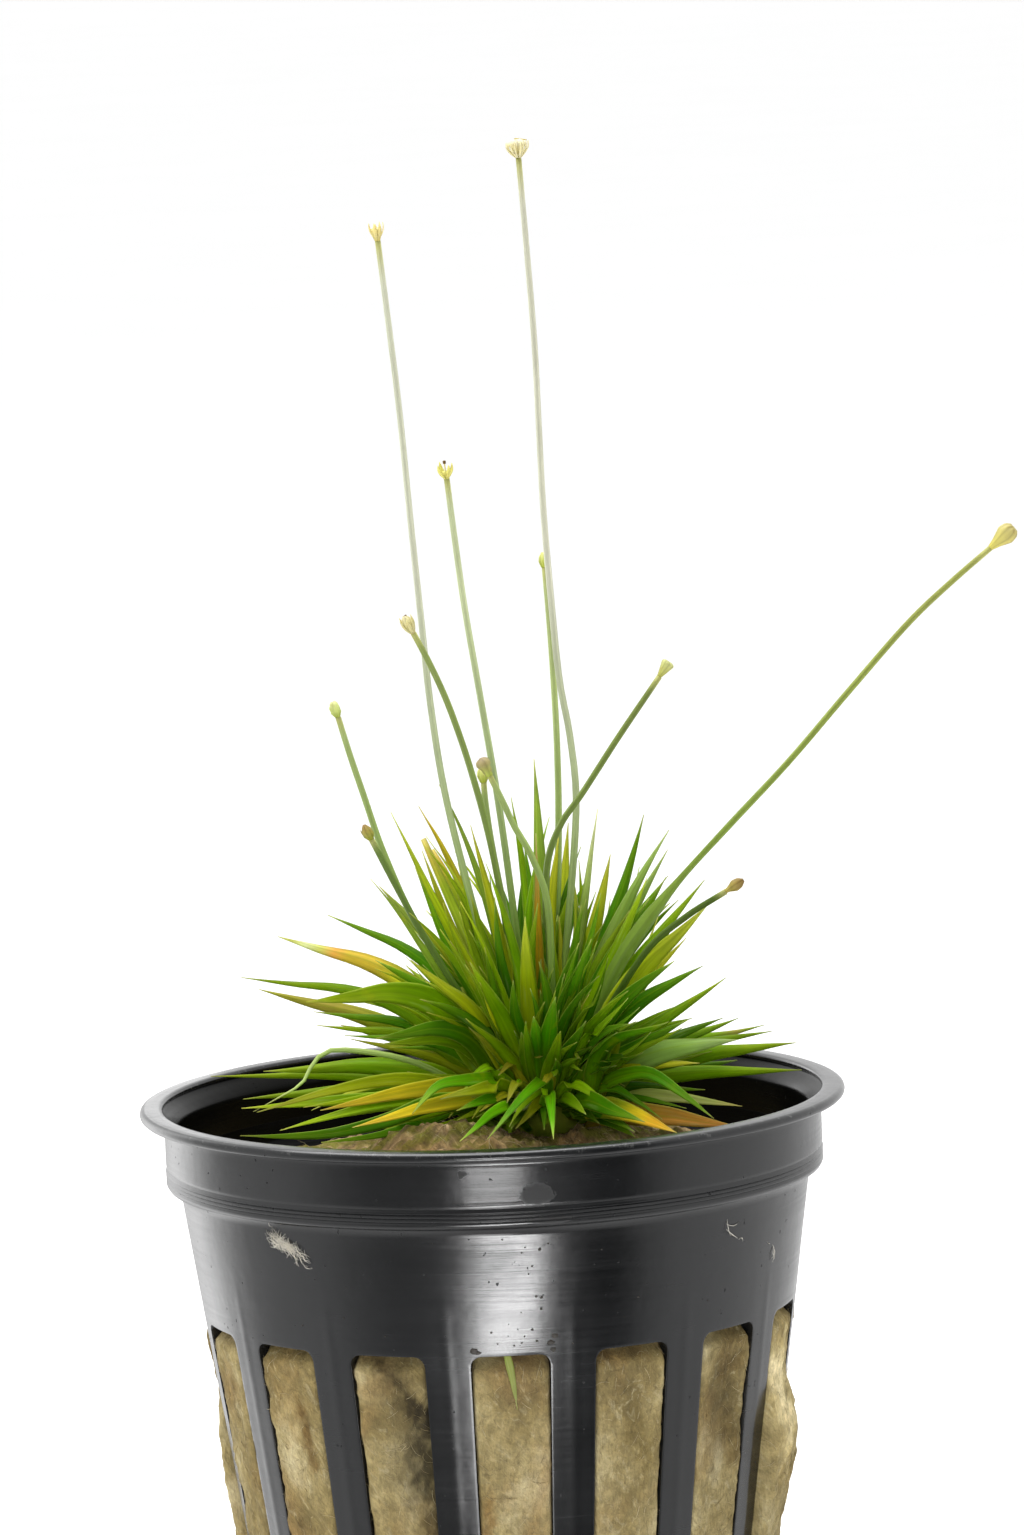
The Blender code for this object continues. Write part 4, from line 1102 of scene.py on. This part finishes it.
def wool_side(tree, angles):
    """Points of the plug's side, row by row: full and lumpy in the slots, even behind the ribs."""
    swells, points = slot_swells(tree), []
    for row in range(WOOL_ROWS):
        height = wool_level(row)
        for angle in angles:
            slot, across = slot_place(angle)
            full = (1 - abs(across) ** 16) ** 0.2 if abs(across) < (WOOL_TO_SIDE + WOOL_DROP) / 2 else 0.0
            radius = behind_ribs(height) + max(swells[slot, row], least_swell(height)) * full
            flat = radial(angle)
            lump = lumpy(flat * radius + at_height(height), SIDE_LUMPS)
            if full > 0 and SLOT_BOTTOM < height < SLOT_TOP:
                radius += min(max(lump, LUMP_LEAST), LUMP_MOST)
                radius -= hollow_depth(angle, height)
            else:
                radius += min(lump, 0.0)
            points.append(flat * radius + at_height(height))
    return points


def wool_top(tree, edge):
    """Points of the plug's top, ring by ring from its edge in to the heart."""
    points = []
    for ring in range(1, TOP_RINGS):
        part = 1 - ring / (TOP_RINGS - 1)
        for place in edge:
            flat = place.xy * part + HEART.xy * (1 - part)
            hit = tree.ray_cast(Vector((flat.x, flat.y, 60.0)), Vector((0, 0, -1)))[0]
            height = hit.z if hit else place.z
            heart = (flat - HEART.xy).length
            fade = min(1.0, max(0.0, (heart - 3.0) / 3.0)) * min(1.0, 3 * ring / TOP_RINGS)
            knoll = KNOLL_HEIGHT * math.exp(-(((flat - KNOLL).length / KNOLL_REACH) ** 2))
            rough = lumpy((flat.x, flat.y, 0), TOP_LUMPS)
            points.append(Vector((flat.x, flat.y, height + (rough + knoll) * fade)))
    return points


def wool_tints(points, angles):
    """What painted shade in the hollows, stains, painted light, algae and crumbs make of the wool's colour.
    """
    columns = len(angles)
    tints = np.ones((len(points), 3))
    shade = np.array([hollow_depth(angles[i % columns], p[2]) for i, p in enumerate(points)])
    # Painted shade: the colour darkens with the depth of each hollow.
    tints *= (1 - 0.45 * np.clip(shade, 0, 1))[:, None]
    # The stains table also holds painted shade and painted light.
    tints *= [stains_and_painted_light(angles[i % columns], p[2]) for i, p in enumerate(points)]
    on_top = points[:, 2] > TOP_FROM
    tints[on_top] *= (0.82, 0.72, 0.74)
    algae, crumbs = (np.array([wool_lumps(p, *kind) for p in points]) for kind in ((2.2, 9.0), (0.7, 4.0)))
    tints *= (1 + np.where(on_top, 1.1, 0.25) * np.clip(crumbs, -0.4, 0.5))[:, None]
    green = (np.clip((algae + 0.12) * 2.5, 0, 1) * on_top)[:, None]
    return tints * (1 - green) + ALGAE * green


def add_wool(finish):
    """The plug, read from its CAD form, with lumps, hollows and a fuller swell in each slot."""
    mesh = frame["nodes"]["rock_wool"].data
    corners = [vertex.co / MM for vertex in mesh.vertices]
    tree = BVHTree.FromPolygons(corners, [tuple(polygon.vertices) for polygon in mesh.polygons])
    angles = wool_angles()
    side = wool_side(tree, angles)
    points = np.array(side + wool_top(tree, side[-len(angles):]))
    faces = ring_faces(WOOL_ROWS + TOP_RINGS - 1, len(angles))
    tints = wool_tints(points, angles)
    return add_piece("wool_plug", points, faces, finish, "rock_wool", "rock_wool", points[:, [0, 2]], tints)


def add_strand(heap, start, way, up, length, radius, bend, tint):
    """One fibre: a thin three-sided strand that bends a little and lies along a surface."""
    steps = 4
    across = way.cross(up).normalized()
    points = []
    for step in range(steps + 1):
        t = step / steps - 0.5
        middle = start + way * (length * t) + across * (bend * (4 * t * t)) - up * (length * 0.1 * 4 * t * t)
        thin = radius * (1.0 - 0.6 * abs(2 * t))
        for side in range(3):
            angle = 2 * math.pi * side / 3
            points.append(middle + across * thin * math.cos(angle) + up * thin * math.sin(angle))
    heap.add(points, ring_faces(steps + 1, 3), np.zeros((len(points), 2)), tint)


FIBRE_COUNT = 6500
FIBRE_COLOURS = (
    srgb(172, 156, 114), srgb(156, 138, 92), srgb(132, 112, 70), srgb(190, 176, 136), srgb(112, 94, 54),
)
# Most that a fibre bends to either side
FIBRE_BEND = (-0.4, 0.4)


def add_fibres(wool, finish):
    """Loose fibres on the wool where it shows: in the slots and on top."""
    chance = random.Random(21)
    faces = []
    for face in wool.data.polygons:
        place = face.center / MM
        _, across = slot_place(math.degrees(math.atan2(place.y, place.x)))
        in_slot = abs(across) < 0.95 and SLOT_BOTTOM + 0.5 < place.z < SLOT_TOP - 0.3
        if in_slot or place.z > TOP_FROM + 0.4:
            faces.append((place, face.normal.copy()))
    heap = Heap()
    for _ in range(FIBRE_COUNT):
        place, normal = chance.choice(faces)
        sideways = normal.orthogonal().normalized()
        angle = chance.gauss(0.9, 0.9)
        way = sideways * math.cos(angle) + normal.cross(sideways) * math.sin(angle)
        start = place + normal * chance.uniform(-0.02, 0.09)
        length, radius = chance.uniform(0.5, 2.2), chance.uniform(0.008, 0.022)
        bend, colour = chance.uniform(*FIBRE_BEND), chance.choice(FIBRE_COLOURS)
        add_strand(heap, start, way, normal, length, radius, bend, colour)
    heap.piece("wool_fibres", finish, "rock_wool")


# Fibres that cling to the pot: angle, height, how far they scatter across and up, how many
CLINGING = (
    (-131.5, 42.0, 0.85, 0.75, 170), (-128.6, 40.9, 0.4, 0.7, 6), (-28.2, 38.7, 0.4, 0.7, 4),
    (-41.8, 41.3, 0.5, 0.6, 4),
)


def add_clinging_fibres(finish):
    """A tuft of wool stuck to the pot's wall, and a few stray fibres."""
    chance = random.Random(5)
    heap = Heap()
    for at, level, across, up, count in CLINGING:
        for _ in range(count):
            shift = chance.gauss(0, 0.5)
            height = level - 0.8 * up * shift + chance.gauss(0, 0.35) * up
            turn = math.radians(at) + across * shift / RIM_RADIUS * 2
            out = Vector((math.cos(turn), math.sin(turn), -0.14)).normalized()
            start = Vector((out.x, out.y, 0)).normalized() * (wall_radius(height) + 0.05) + at_height(height)
            start += out * chance.uniform(0.0, 0.2)
            angle = chance.gauss(-0.7, 0.5)
            way = (Vector((-out.y, out.x, 0)) * math.cos(angle) + at_height(1) * math.sin(angle)).normalized()
            length, radius = chance.uniform(0.5, 1.8), chance.uniform(0.014, 0.036)
            bend = chance.uniform(*FIBRE_BEND)
            add_strand(heap, start, way, out, length, radius, bend, srgb(240, 235, 222))
    heap.piece("clinging_fibres", finish, "rock_wool")


# The leaf tip in the front slot: its foot, its end, how far it bulges and its width
BURIED_LEAF = np.array([[0.3, -23.0, 34.4], [1.05, -22.65, 29.4], [0.1, -0.32, 0.0]])
BURIED_WIDTH = 0.66


def add_buried_leaf(finish):
    """The tip of a leaf that lies on the wool in the front slot."""
    heap = Heap()
    start, end, bulge = BURIED_LEAF
    path, sides = [start, (start + end) / 2 + bulge, end], [np.array([1.0, 0.0, 0.0])] * 3
    add_blade(heap, path, sides, BURIED_WIDTH, "straw", random.Random(9), patches=PATCHES["buried_leaf"])
    heap.piece("buried_leaf", finish, "leaf_yellow_green")


# Pot


def pot_columns():
    """Angles of the pot's columns: close together at the slots' rounded corners, even on the ribs."""
    corner = [SLOT_CORNER * (1 - math.cos(math.radians(step))) for step in (0, 18, 36, 54, 72, 90)]
    to_degrees = math.degrees(1 / wall_radius(SLOT_TOP))
    left = [-SLOT_ANGLE / 2 + reach * to_degrees for reach in corner]
    middle = [left[-1] * part for part in (0.66, 0.33, 0.0, -0.33, -0.66)]
    slot = [*left, *middle, *[-angle for angle in reversed(left)]]
    rib = [SLOT_ANGLE / 2 + (PITCH - SLOT_ANGLE) * step / 18 for step in range(1, 18)]
    return [(-90 + SLOT_TURN + index * PITCH + angle, angle, angle < SLOT_ANGLE / 2 - 1e-6)
            for index in range(SLOT_COUNT) for angle in (*slot, *rib)]


def slot_edge(angle, end):
    """How far a rounded corner moves the slot's end at an angle across the slot."""
    reach = (SLOT_ANGLE / 2 - abs(angle)) * math.radians(1) * wall_radius(end)
    if reach >= SLOT_CORNER:
        return SLOT_CORNER
    return math.sqrt(max(0.0, SLOT_CORNER**2 - (SLOT_CORNER - max(reach, 0.0)) ** 2))


def bent_height(height, angle):
    """Height of a row at an angle across the slot, where rows follow the slot's rounded corners."""
    if abs(angle) > SLOT_ANGLE / 2:
        return height
    for end, blend, way in ((SLOT_TOP, SLOT_BLEND, 1), (SLOT_BOTTOM, SLOT_LOW_BLEND, -1)):
        start = end - way * SLOT_CORNER
        if (height - start) * way >= -1e-6 and (height - blend) * way <= 0:
            moved = start + way * slot_edge(angle, end)
            return moved + (blend - moved) * (height - start) / (blend - start)
    return height


def rib_ridge(angle, height):
    """How far the low ridge along a rib's middle stands out of the wall at an angle from a slot's middle."""
    from_middle = abs(abs(angle) - PITCH / 2) * math.radians(1) * wall_radius(height)
    rise = min(1.0, max(0.0, (RIDGE_TOP - height) / (RIDGE_TOP - SLOT_TOP))) * min(1.0, height / 3.0)
    return RIDGE_CREST * rise * rise * (3 - 2 * rise) * math.exp(-((from_middle / RIDGE_WIDTH) ** 2))


def pot_rows():
    """Rows of (outer radius, outer height, inner radius, inner height) from the rim to the floor."""
    top, inner_collar = POT_HEIGHT, COLLAR_RADIUS - WALL
    middle = (RIM_RADIUS + MOUTH_RADIUS) / 2
    rows = [(middle, top, middle - 0.15, top)]
    turn = RIM_THICKNESS / 2
    for reach in (0.16, 0.32, 0.46):
        rows.append((middle + reach, top - reach**2 / (2 * RIM_CROWN), middle - 0.15 - reach / 2, top))
    fall = top - rows[-1][1]
    for degrees in (80, 55, 30, 0, -30, -60, -90):
        angle = math.radians(degrees)
        outer = (RIM_RADIUS - turn + turn * math.cos(angle), top - turn - fall + turn * math.sin(angle))
        inner = (MOUTH_RADIUS + 0.25 - 0.25 * math.cos(angle), top - 0.25 + 0.25 * math.sin(angle))
        rows.append((*outer, *inner))
    rows.append((COLLAR_RADIUS + 0.35, top - RIM_THICKNESS - 0.02, MOUTH_RADIUS - 0.25, top - 0.9))
    rows.append((COLLAR_RADIUS + 0.08, top - RIM_THICKNESS - 0.3, inner_collar + 0.1, top - 1.5))
    for step in range(1, 13):
        height = top - 1.1 - step * 0.27
        rows.append((COLLAR_RADIUS + 0.02, height, inner_collar, height - 0.4))
    groove = (0.0, -0.09, 0.0, 0.06, -0.1, 0.05, -0.1, 0.04, -0.08, 0.05, 0.0)
    for step, depth in enumerate(groove):
        height = top - 4.5 - step * 0.145
        rows.append((COLLAR_RADIUS + depth, height, inner_collar - 0.02 * step, height + 0.1))
    rows.append((COLLAR_RADIUS - 0.12, COLLAR_BOTTOM + 0.04, inner_collar - 0.3, COLLAR_BOTTOM - 0.1))
    rows.append((WALL_TOP_RADIUS + 0.35, COLLAR_BOTTOM - 0.06, inner_collar - 0.6, COLLAR_BOTTOM - 0.3))
    rows.append((WALL_TOP_RADIUS + 0.02, COLLAR_BOTTOM - 0.25, WALL_TOP_RADIUS - WALL, COLLAR_BOTTOM - 0.6))
    levels = [43.0, 41.8, 40.6, 39.4, 38.2, 37.6, 37.0, 36.0, 35.2, 34.4, 33.8, 33.1]
    levels += [SLOT_TOP - SLOT_CORNER, *np.arange(31.0, 7.0, -1.6), SLOT_BOTTOM + SLOT_CORNER]
    levels += [4.6, 3.8, 2.8, 2.0, 1.4]
    for height in levels:
        rows.append((wall_radius(height), height, wall_radius(height) - WALL, max(height, FLOOR + 0.05)))
    for outside, height, inside in ((0.05, 0.5, 0.0), (-0.15, 0.12, -0.3), (-0.5, 0.0, -0.6)):
        rows.append((BASE_RADIUS + outside, height, BASE_RADIUS - WALL + inside, FLOOR))
    rows += [(radius, 0.0, radius, FLOOR) for radius in (16.0, DRAIN_OUTER, 11.3, 9.1, DRAIN_INNER, 4.0, 1.2)]
    return rows


# Greasy smears on the pot: angle, height, width, how high
SMEARS = (
    (-82.8, 46.3, 1.1, 0.7), (-97.5, 48.1, 1.2, 0.3), (-80.5, 44.3, 1.5, 0.25), (-129.0, 46.2, 1.3, 0.4),
)


def smear(angle, height):
    apart = (math.hypot(math.radians(angle - at) * RIM_RADIUS / wide, (height - level) / high)
             for at, level, wide, high in SMEARS)
    return max(0.0, 1 - 0.5 * min(apart))


def pot_points(columns, rows):
    """Points of the pot's outer and then its inner surface, row by row, and how greasy each one is."""
    points, tints = [], []
    for inner in (False, True):
        for row in rows:
            radius, height = row[2:4] if inner else row[:2]
            bends = height < SLOT_BLEND and radius > DRAIN_OUTER + 2
            on_wall = radius > BASE_RADIUS - 1.2 and 0.1 < height < COLLAR_BOTTOM - 0.5
            for angle, across, _ in columns:
                level = bent_height(height, across) if bends else height
                reach = radius
                if on_wall:
                    reach = wall_radius(level) - (WALL if inner else 0.0)
                    reach += 0.0 if inner else rib_ridge(across, level)
                turn = math.radians(angle)
                points.append((reach * math.cos(turn), reach * math.sin(turn), level))
                tints.append((0.0 if inner else smear(angle, level),) * 3)
    return points, tints


def pot_faces(columns, rows):
    """Faces of both surfaces, and between them at the edges of each opening, at the rim and at the middle."""
    count, last = len(columns), len(rows) - 1

    def is_open(row, column):
        """Whether the cell after a column and below a row is open."""
        if not 0 <= row < last or not columns[column % count][2]:
            return False
        radius, height = rows[row][:2]
        slot = SLOT_BOTTOM + SLOT_CORNER < height <= SLOT_TOP - SLOT_CORNER + 1e-6 and radius > BASE_RADIUS
        return slot or (height == 0.0 and DRAIN_INNER < radius <= DRAIN_OUTER)

    def at(corner, inner=False):
        return (len(rows) * count if inner else 0) + corner[0] * count + corner[1] % count

    def edge(start, end):
        return at(end), at(end, True), at(start, True), at(start)

    faces = []
    for row in range(last):
        for column in range(count):
            if is_open(row, column):
                continue
            a, b, c, d = (row, column), (row + 1, column), (row + 1, column + 1), (row, column + 1)
            faces.append(tuple(at(corner) for corner in (a, b, c, d)))
            faces.append(tuple(at(corner, True) for corner in (d, c, b, a)))
            beside = (((row, column - 1), b, a), ((row, column + 1), d, c), ((row - 1, column), a, d),
                      ((row + 1, column), c, b))
            faces += [edge(start, end) for cell, start, end in beside if is_open(*cell)]
    for column in range(count):
        start, end = (0, column), (0, column + 1)
        faces.append((at(start), at(end), at(end, True), at(start, True)))
    faces.append(tuple(at((last, column)) for column in reversed(range(count))))
    faces.append(tuple(at((last, column), True) for column in range(count)))
    return faces


def add_pot():
    """The basket pot as one closed form, with worn edges and a matt inside painted darker as shade."""
    outside = pot_material("black_plastic_surface", 0.5, srgb(15, 16, 17), srgb(22, 23, 25))
    # Painted shade: the inside is a darker, duller copy of the same plastic.
    inside = pot_material("black_plastic_inside_painted_shade", 0.06, srgb(6, 6, 5), srgb(13, 13, 10))
    columns, rows = pot_columns(), pot_rows()
    points, tints = pot_points(columns, rows)
    faces = pot_faces(columns, rows)
    piece = add_piece("basket_pot", points, faces, outside, "black_plastic", "pot", tint=tints)
    piece.data.materials.append(inside)
    layer = len(points) // 2
    for polygon in piece.data.polygons:
        # Faces inside the pot, below the rim, take the painted-shade copy.
        deep = polygon.center.z < (POT_HEIGHT - 0.5) * MM
        polygon.material_index = int(deep and all(index >= layer for index in polygon.vertices))
    bevel = piece.modifiers.new("worn edges", "BEVEL")
    bevel.width, bevel.segments, bevel.limit_method = WORN_WIDTH * MM, 2, "ANGLE"
    bevel.angle_limit = math.radians(WORN_FROM)
    bevel.use_clamp_overlap = True


# Specks on the pot's wall, most of them dirt: angle, height, radius
SPECKS = (
    (-85.0, 42.1, 0.09), (-82.4, 41.9, 0.13), (-85.6, 41.7, 0.08), (-83.8, 40.6, 0.09), (-84.5, 40.0, 0.08),
    (-83.2, 38.2, 0.09), (-82.2, 38.1, 0.13), (-82.3, 37.2, 0.13), (-91.7, 35.5, 0.1), (-84.0, 35.6, 0.13),
    (-85.5, 35.1, 0.09), (-83.2, 34.7, 0.13), (-90.6, 34.6, 0.08), (-86.1, 34.6, 0.1), (-87.5, 34.4, 0.09),
    (-89.0, 42.8, 0.08), (-80.8, 42.3, 0.09), (-86.9, 41.0, 0.06), (-86.0, 37.0, 0.06), (-88.4, 36.1, 0.06),
    # The five larger ones are dark blobs at the front slot's upper corners.
    (-95.0, 34.1, 0.3), (-94.3, 33.95, 0.26), (-80.7, 34.5, 0.3), (-79.9, 35.0, 0.26), (-80.3, 33.95, 0.26),
    (-120.2, 36.5, 0.09), (-119.0, 38.9, 0.07), (-112.0, 35.2, 0.07), (-71.0, 41.5, 0.07), (-63.5, 37.4, 0.1),
    (-57.0, 39.8, 0.06), (-47.5, 36.2, 0.08), (-130.0, 35.6, 0.08), (-76.4, 34.3, 0.1), (-101.5, 42.6, 0.06),
)


# A crumb's rings from foot to top: part of its radius and lift
CRUMB_RINGS = ((1.0, 0.0), (0.9, 0.05), (0.45, 0.1))
CRUMB_SIDES = 9


def add_specks():
    """Low dark crumbs, each a flat dome with a ragged edge."""
    shader = Shader("dark_speck_surface")
    grain = shader.solid_noise(9.0)
    shader.set(Base_Color=shader.mix(grain, srgb(14, 12, 9), srgb(52, 44, 32)), Roughness=0.7)
    chance = random.Random(3)
    heap = Heap()
    for angle, height, radius in SPECKS:
        out, level = radial(angle), radial(angle + 90)
        middle = out * (wall_radius(height) - 0.02) + at_height(height)
        stretch = chance.uniform(0.6, 1.0)
        edge = [chance.uniform(0.7, 1.25) for _ in range(CRUMB_SIDES)]
        points = []
        for share, lift in CRUMB_RINGS:
            for side, ragged in enumerate(edge):
                around = 2 * math.pi * side / CRUMB_SIDES
                reach = radius * share * ragged
                flat = level * math.cos(around) * reach + at_height(1) * math.sin(around) * reach * stretch
                points.append(middle + flat + out * (0.02 + lift * min(1.0, radius / 0.15)))
        faces = ring_faces(len(CRUMB_RINGS), CRUMB_SIDES)
        heap.add(points, faces, np.zeros((len(points), 2)), srgb(30, 26, 20))
    heap.piece("pot_specks", shader.material, "black_plastic")


# Stage, light and camera


FLOOR_SIZE = 4000.0


def add_stage():
    """A plain pale floor."""
    shader = Shader("stage_white")
    grain = shader.solid_noise(0.02, detail=2.0)
    shader.set(Base_Color=shader.mix(grain, 0.97, 0.99), Roughness=0.9)
    corners = [(x * FLOOR_SIZE, y * FLOOR_SIZE, 0) for x, y in ((-1, -1), (1, -1), (1, 1), (-1, 1))]
    floor = add_piece("floor", corners, [(0, 1, 2, 3)], shader.material)
    floor.visible_glossy = False


def add_area_light(name, place, target, wide, tall, power):
    light = bpy.data.lights.new(name, "AREA")
    light.energy = power
    light.shape = "RECTANGLE"
    light.size, light.size_y = wide * MM, tall * MM
    obj = bpy.data.objects.new(name, light)
    obj.location = Vector(place) * MM
    obj.rotation_euler = (Vector(target) - Vector(place)).to_track_quat("-Z", "Y").to_euler()
    obj.visible_camera = False
    bpy.context.scene.collection.objects.link(obj)
    return obj


def add_world():
    """A white tent all round: dimmer towards the camera, brightest behind at the left, open at the right."""
    world = bpy.data.worlds.new("white_tent")
    world.use_nodes = True
    tree = Nodes(world.node_tree)
    split = tree.node("ShaderNodeSeparateXYZ", Vector=tree.node("ShaderNodeTexCoord").outputs["Generated"])

    def step(axis, start, end, low, high):
        """A smooth step between two values along an axis."""
        smooth = {"interpolation_type": "SMOOTHSTEP"}
        return tree.node("ShaderNodeMapRange", smooth, Value=split.outputs[axis], From_Min=start,
                         From_Max=end, To_Min=low, To_Max=high).outputs[0]

    behind = tree.math("MULTIPLY", step("Y", 0.25, 0.85, 0.0, LEFT_GLOW), step("X", -0.7, -0.2, 1.0, 0.0))
    tent = tree.math("ADD", step("Y", -0.75, -0.2, CAMERA_SIDE, TENT), behind)
    gap = tree.math("MULTIPLY", step("X", 0.42, 0.56, 0.0, 1.0), step("X", 0.7, 0.82, 1.0, 0.0))
    gap = tree.math("MULTIPLY", gap, step("Y", -0.62, -0.45, 1.0, 0.0))
    background = tree.nodes["Background"]
    tree.put(background.inputs["Strength"], tree.math("MULTIPLY", tent, tree.math("SUBTRACT", 1.0, gap)))
    tree.put(background.inputs["Color"], (1, 1, 1, 1))
    bpy.context.scene.world = world


def add_light():
    """The tent, a soft lamp above and one in front, and narrow ones that only glossy surfaces show."""
    add_world()
    for name, place, target, size, power in LAMPS:
        lamp = add_area_light(name, place, target, size, size, power)
        lamp.visible_glossy = name != "front_fill"
    for name, place, wide, tall, power in GLARES:
        glare = add_area_light(name, place, (place[0], 0, place[2]), wide, tall, power)
        glare.visible_diffuse = glare.visible_transmission = False
    bpy.context.scene.view_settings.view_transform = "Standard"


def add_camera():
    """The photograph's camera."""
    pitch, roll = math.radians(CAMERA_PITCH), math.radians(CAMERA_ROLL)
    right = Vector((1, 0, 0))
    forward = Vector((0, math.cos(pitch), -math.sin(pitch)))
    up = right.cross(forward)
    offset = RIM_IN_VIEW[0] * right + RIM_IN_VIEW[1] * up + CAMERA_DISTANCE * forward
    rolled_right = math.cos(roll) * right - math.sin(roll) * up
    rolled_up = math.sin(roll) * right + math.cos(roll) * up
    matrix = Matrix((rolled_right, rolled_up, -forward)).transposed().to_4x4()
    matrix.translation = (at_height(POT_HEIGHT) - offset) * MM
    camera = bpy.data.cameras.new("photo_camera")
    camera.sensor_width = SENSOR
    camera.lens = FOCAL_PIXELS * SENSOR / PHOTO_SIZE[1]
    camera.clip_end = 20.0
    obj = bpy.data.objects.new("photo_camera", camera)
    obj.matrix_world = matrix
    bpy.context.scene.collection.objects.link(obj)
    bpy.context.scene.camera = obj


def main():
    add_stage()
    add_light()
    add_camera()
    add_pot()
    add_specks()
    wool = add_wool(wool_material())
    fibres = fibre_material()
    add_fibres(wool, fibres)
    add_clinging_fibres(fibres)
    add_stalks(stem_material())
    add_heads(head_material())
    leaves = leaf_material()
    add_buried_leaf(leaves)
    add_inner_leaves(leaves)
    add_outer_leaves(leaves)


main()
